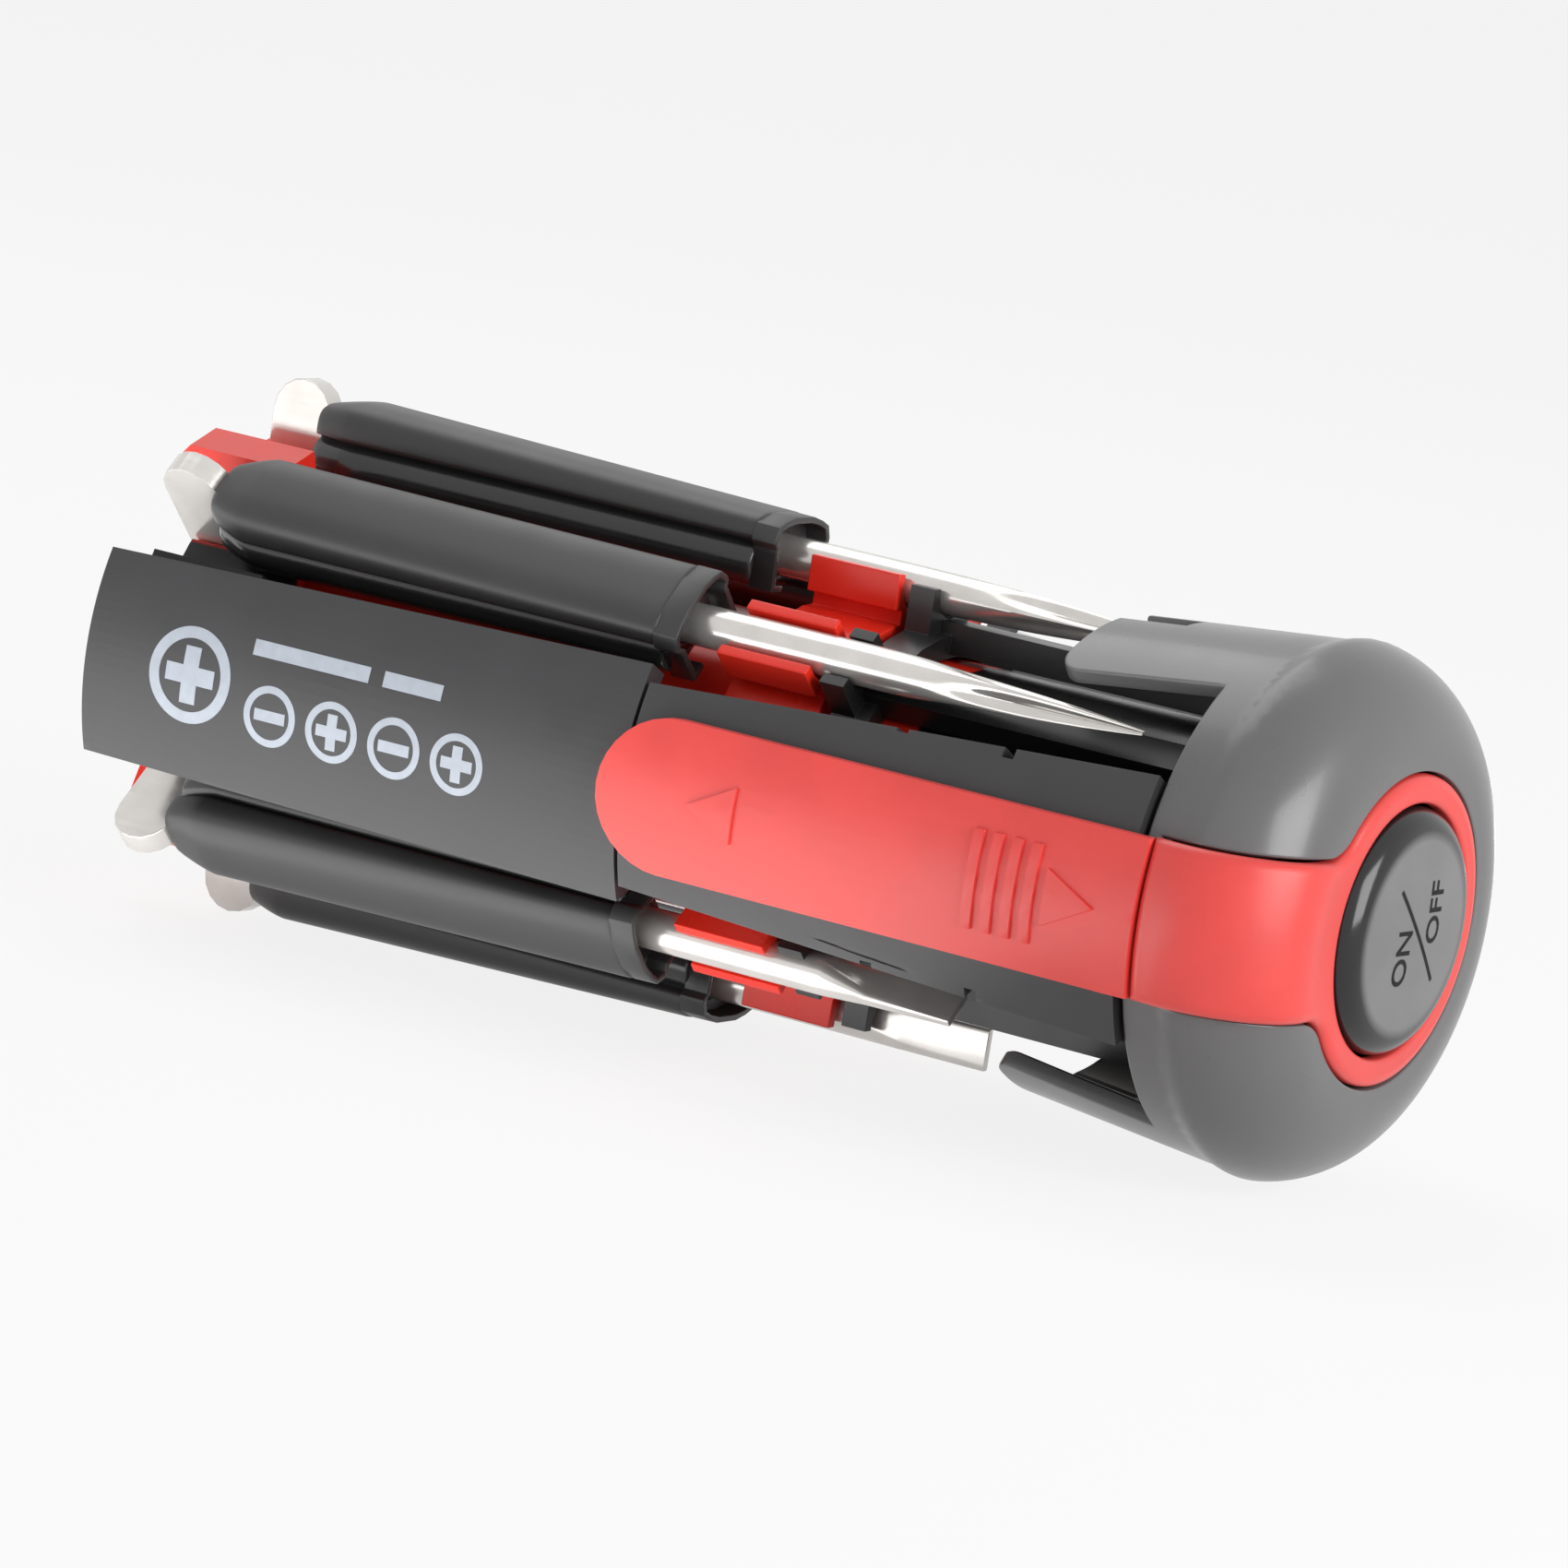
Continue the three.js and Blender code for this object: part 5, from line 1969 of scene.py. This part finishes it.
@dataclass
class Studio:
    """Floor, soft light and the camera at the photograph's angle."""

    azimuth: float = 30.55
    elevation: float = 8.98
    roll: float = 9.01
    distance: float = 804.2 * MM
    focal_pixels: float = 9407.0
    frame_pixels: float = 1700.0
    sensor: float = 36.0
    middle_pixels: tuple[float, float] = (34.7, -0.5)
    aim_station: float = 65.8 * MM
    clip_start: float = 10.0 * MM
    floor_size: float = 6.0
    floor_colour: tuple[float, ...] = (0.9, 0.9, 0.9, 1.0)
    seen_white: float = 1.0
    ambient: float = 0.3
    shadow_share: float = 0.15
    table_gap: float = 1.0 * MM
    table_start: float = -0.15
    table_offset: float = 0.19
    table_size: float = 0.34
    table_power: float = 0.75
    table_aim: float = 1.0
    lamps: tuple[Lamp, ...] = (
        Lamp("key", (-0.3, 0.15, 0.58), 0.5, 1.4),
        Lamp("fill", (0.6, -0.12, 0.2), 0.4, 3.2),
    )

    def aim(self) -> Vector:
        """Gives the point of the axis that the camera faces."""
        return AXIS.point(self.aim_station, 0.0, 0.0)

    def set_camera(self) -> None:
        """Puts the camera where the photograph was taken from."""
        turn, rise = math.radians(self.azimuth), math.radians(self.elevation)
        flat = math.cos(rise)
        back = Vector((math.sin(turn) * flat, -math.cos(turn) * flat, math.sin(rise)))
        right = Vector((math.cos(turn), math.sin(turn), 0.0))
        upright = Matrix((right, back.cross(right), back)).transposed()
        rolled = upright @ Matrix.Rotation(math.radians(self.roll), 3, "Z")
        camera_data = bpy.data.cameras.new("camera")
        camera_data.sensor_width = self.sensor
        camera_data.lens = self.focal_pixels / self.frame_pixels * self.sensor
        camera_data.shift_x = -self.middle_pixels[0] / self.frame_pixels
        camera_data.shift_y = self.middle_pixels[1] / self.frame_pixels
        camera_data.clip_start = self.clip_start
        camera = bpy.data.objects.new("camera", camera_data)
        place = self.aim() + back * self.distance
        camera.matrix_world = Matrix.Translation(place) @ rolled.to_4x4()
        bpy.context.scene.collection.objects.link(camera)
        bpy.context.scene.camera = camera

    def seen_share(self, tree: NodeTree) -> NodeSocket:
        """Gives one for rays that show the background: camera, glossy and transmission rays.

        Args:
            tree: the node tree that takes the nodes.

        Returns:
            The socket with the share.
        """
        path = tree.nodes.new("ShaderNodeLightPath")
        share = path.outputs["Is Camera Ray"]
        for other in ("Is Glossy Ray", "Is Transmission Ray"):
            highest = tree.nodes.new("ShaderNodeMath")
            highest.operation = "MAXIMUM"
            tree.links.new(share, highest.inputs[0])
            tree.links.new(path.outputs[other], highest.inputs[1])
            share = highest.outputs["Value"]
        return share

    def light_world(self) -> None:
        """Makes a white world that lights the object softly."""
        world = bpy.data.worlds.new("studio")
        bpy.context.scene.world = world
        world.use_nodes = True
        tree = world.node_tree
        tree.nodes.clear()
        output = tree.nodes.new("ShaderNodeOutputWorld")
        mix = tree.nodes.new("ShaderNodeMixShader")
        for slot, strength in ((1, self.ambient), (2, self.seen_white)):
            background = tree.nodes.new("ShaderNodeBackground")
            background.inputs["Color"].default_value = WHITE
            background.inputs["Strength"].default_value = strength
            tree.links.new(background.outputs["Background"], mix.inputs[slot])
        tree.links.new(self.seen_share(tree), mix.inputs["Fac"])
        tree.links.new(mix.outputs["Shader"], output.inputs["Surface"])

    def floor_finish(self) -> Material:
        """Makes the floor's material: white to the camera, with a light shadow."""
        material = bpy.data.materials.new("floor_white")
        material.use_nodes = True
        tree = material.node_tree
        tree.nodes.clear()
        output = tree.nodes.new("ShaderNodeOutputMaterial")
        matt = tree.nodes.new("ShaderNodeBsdfDiffuse")
        matt.inputs["Color"].default_value = self.floor_colour
        glow = tree.nodes.new("ShaderNodeEmission")
        glow.inputs["Strength"].default_value = self.seen_white
        scaled = tree.nodes.new("ShaderNodeMath")
        scaled.operation = "MULTIPLY"
        scaled.inputs[1].default_value = 1 - self.shadow_share
        tree.links.new(self.seen_share(tree), scaled.inputs[0])
        mix = tree.nodes.new("ShaderNodeMixShader")
        tree.links.new(scaled.outputs["Value"], mix.inputs["Fac"])
        tree.links.new(matt.outputs["BSDF"], mix.inputs[1])
        tree.links.new(glow.outputs["Emission"], mix.inputs[2])
        tree.links.new(mix.outputs["Shader"], output.inputs["Surface"])
        return material

    def lay_floor(self) -> None:
        """Lays a wide pale floor under the tool."""
        mesh = bmesh.new()
        bmesh.ops.create_grid(mesh, x_segments=1, y_segments=1, size=self.floor_size / 2)
        data = bpy.data.meshes.new("floor")
        mesh.to_mesh(data)
        mesh.free()
        floor = bpy.data.objects.new("floor", data)
        data.materials.append(self.floor_finish())
        bpy.context.scene.collection.objects.link(floor)

    def hang(self, lamp: Lamp) -> None:
        """Hangs a lamp so that it faces its target.

        Args:
            lamp: the lamp.
        """
        data = bpy.data.lights.new(lamp.name, "AREA")
        data.shape = "SQUARE"
        data.size = lamp.size
        data.energy = lamp.power
        hung = bpy.data.objects.new(lamp.name, data)
        hung.location = self.aim() + Vector(lamp.place)
        away = Vector(lamp.place) - Vector(lamp.target)
        hung.rotation_euler = away.to_track_quat("Z", "Y").to_euler()
        hung.visible_camera = False
        bpy.context.scene.collection.objects.link(hung)

    def light_table(self) -> None:
        """Lights the tool from below, as a bright table does, from a lamp on each side."""
        low = self.table_gap - AXIS.z
        for name, side in (("table_front", -1), ("table_back", 1)):
            across = side * self.table_offset
            place, target = (self.table_start, across, low), (self.table_start, across, self.table_aim)
            self.hang(Lamp(name, place, self.table_size, self.table_power, target))

    def set_up(self) -> None:
        """Sets up camera, light and floor."""
        bpy.context.scene.view_settings.view_transform = "Standard"
        self.set_camera()
        self.light_world()
        self.lay_floor()
        for lamp in self.lamps:
            self.hang(lamp)
        self.light_table()


def main() -> None:
    """Builds and dresses the sub-assemblies in order."""
    logging.basicConfig(level=logging.INFO, format="%(name)s: %(message)s")
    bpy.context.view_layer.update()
    bench = Bench()
    Studio().set_up()
    for part in (FrontHub, LampSet, BatteryPack, DriverSet, SideShells,
                 PanelPrint, LockSlide, BitRack, RearCap, PowerButton):
        part(bench).dress()
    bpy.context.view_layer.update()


if __name__ == "__main__":
    main()
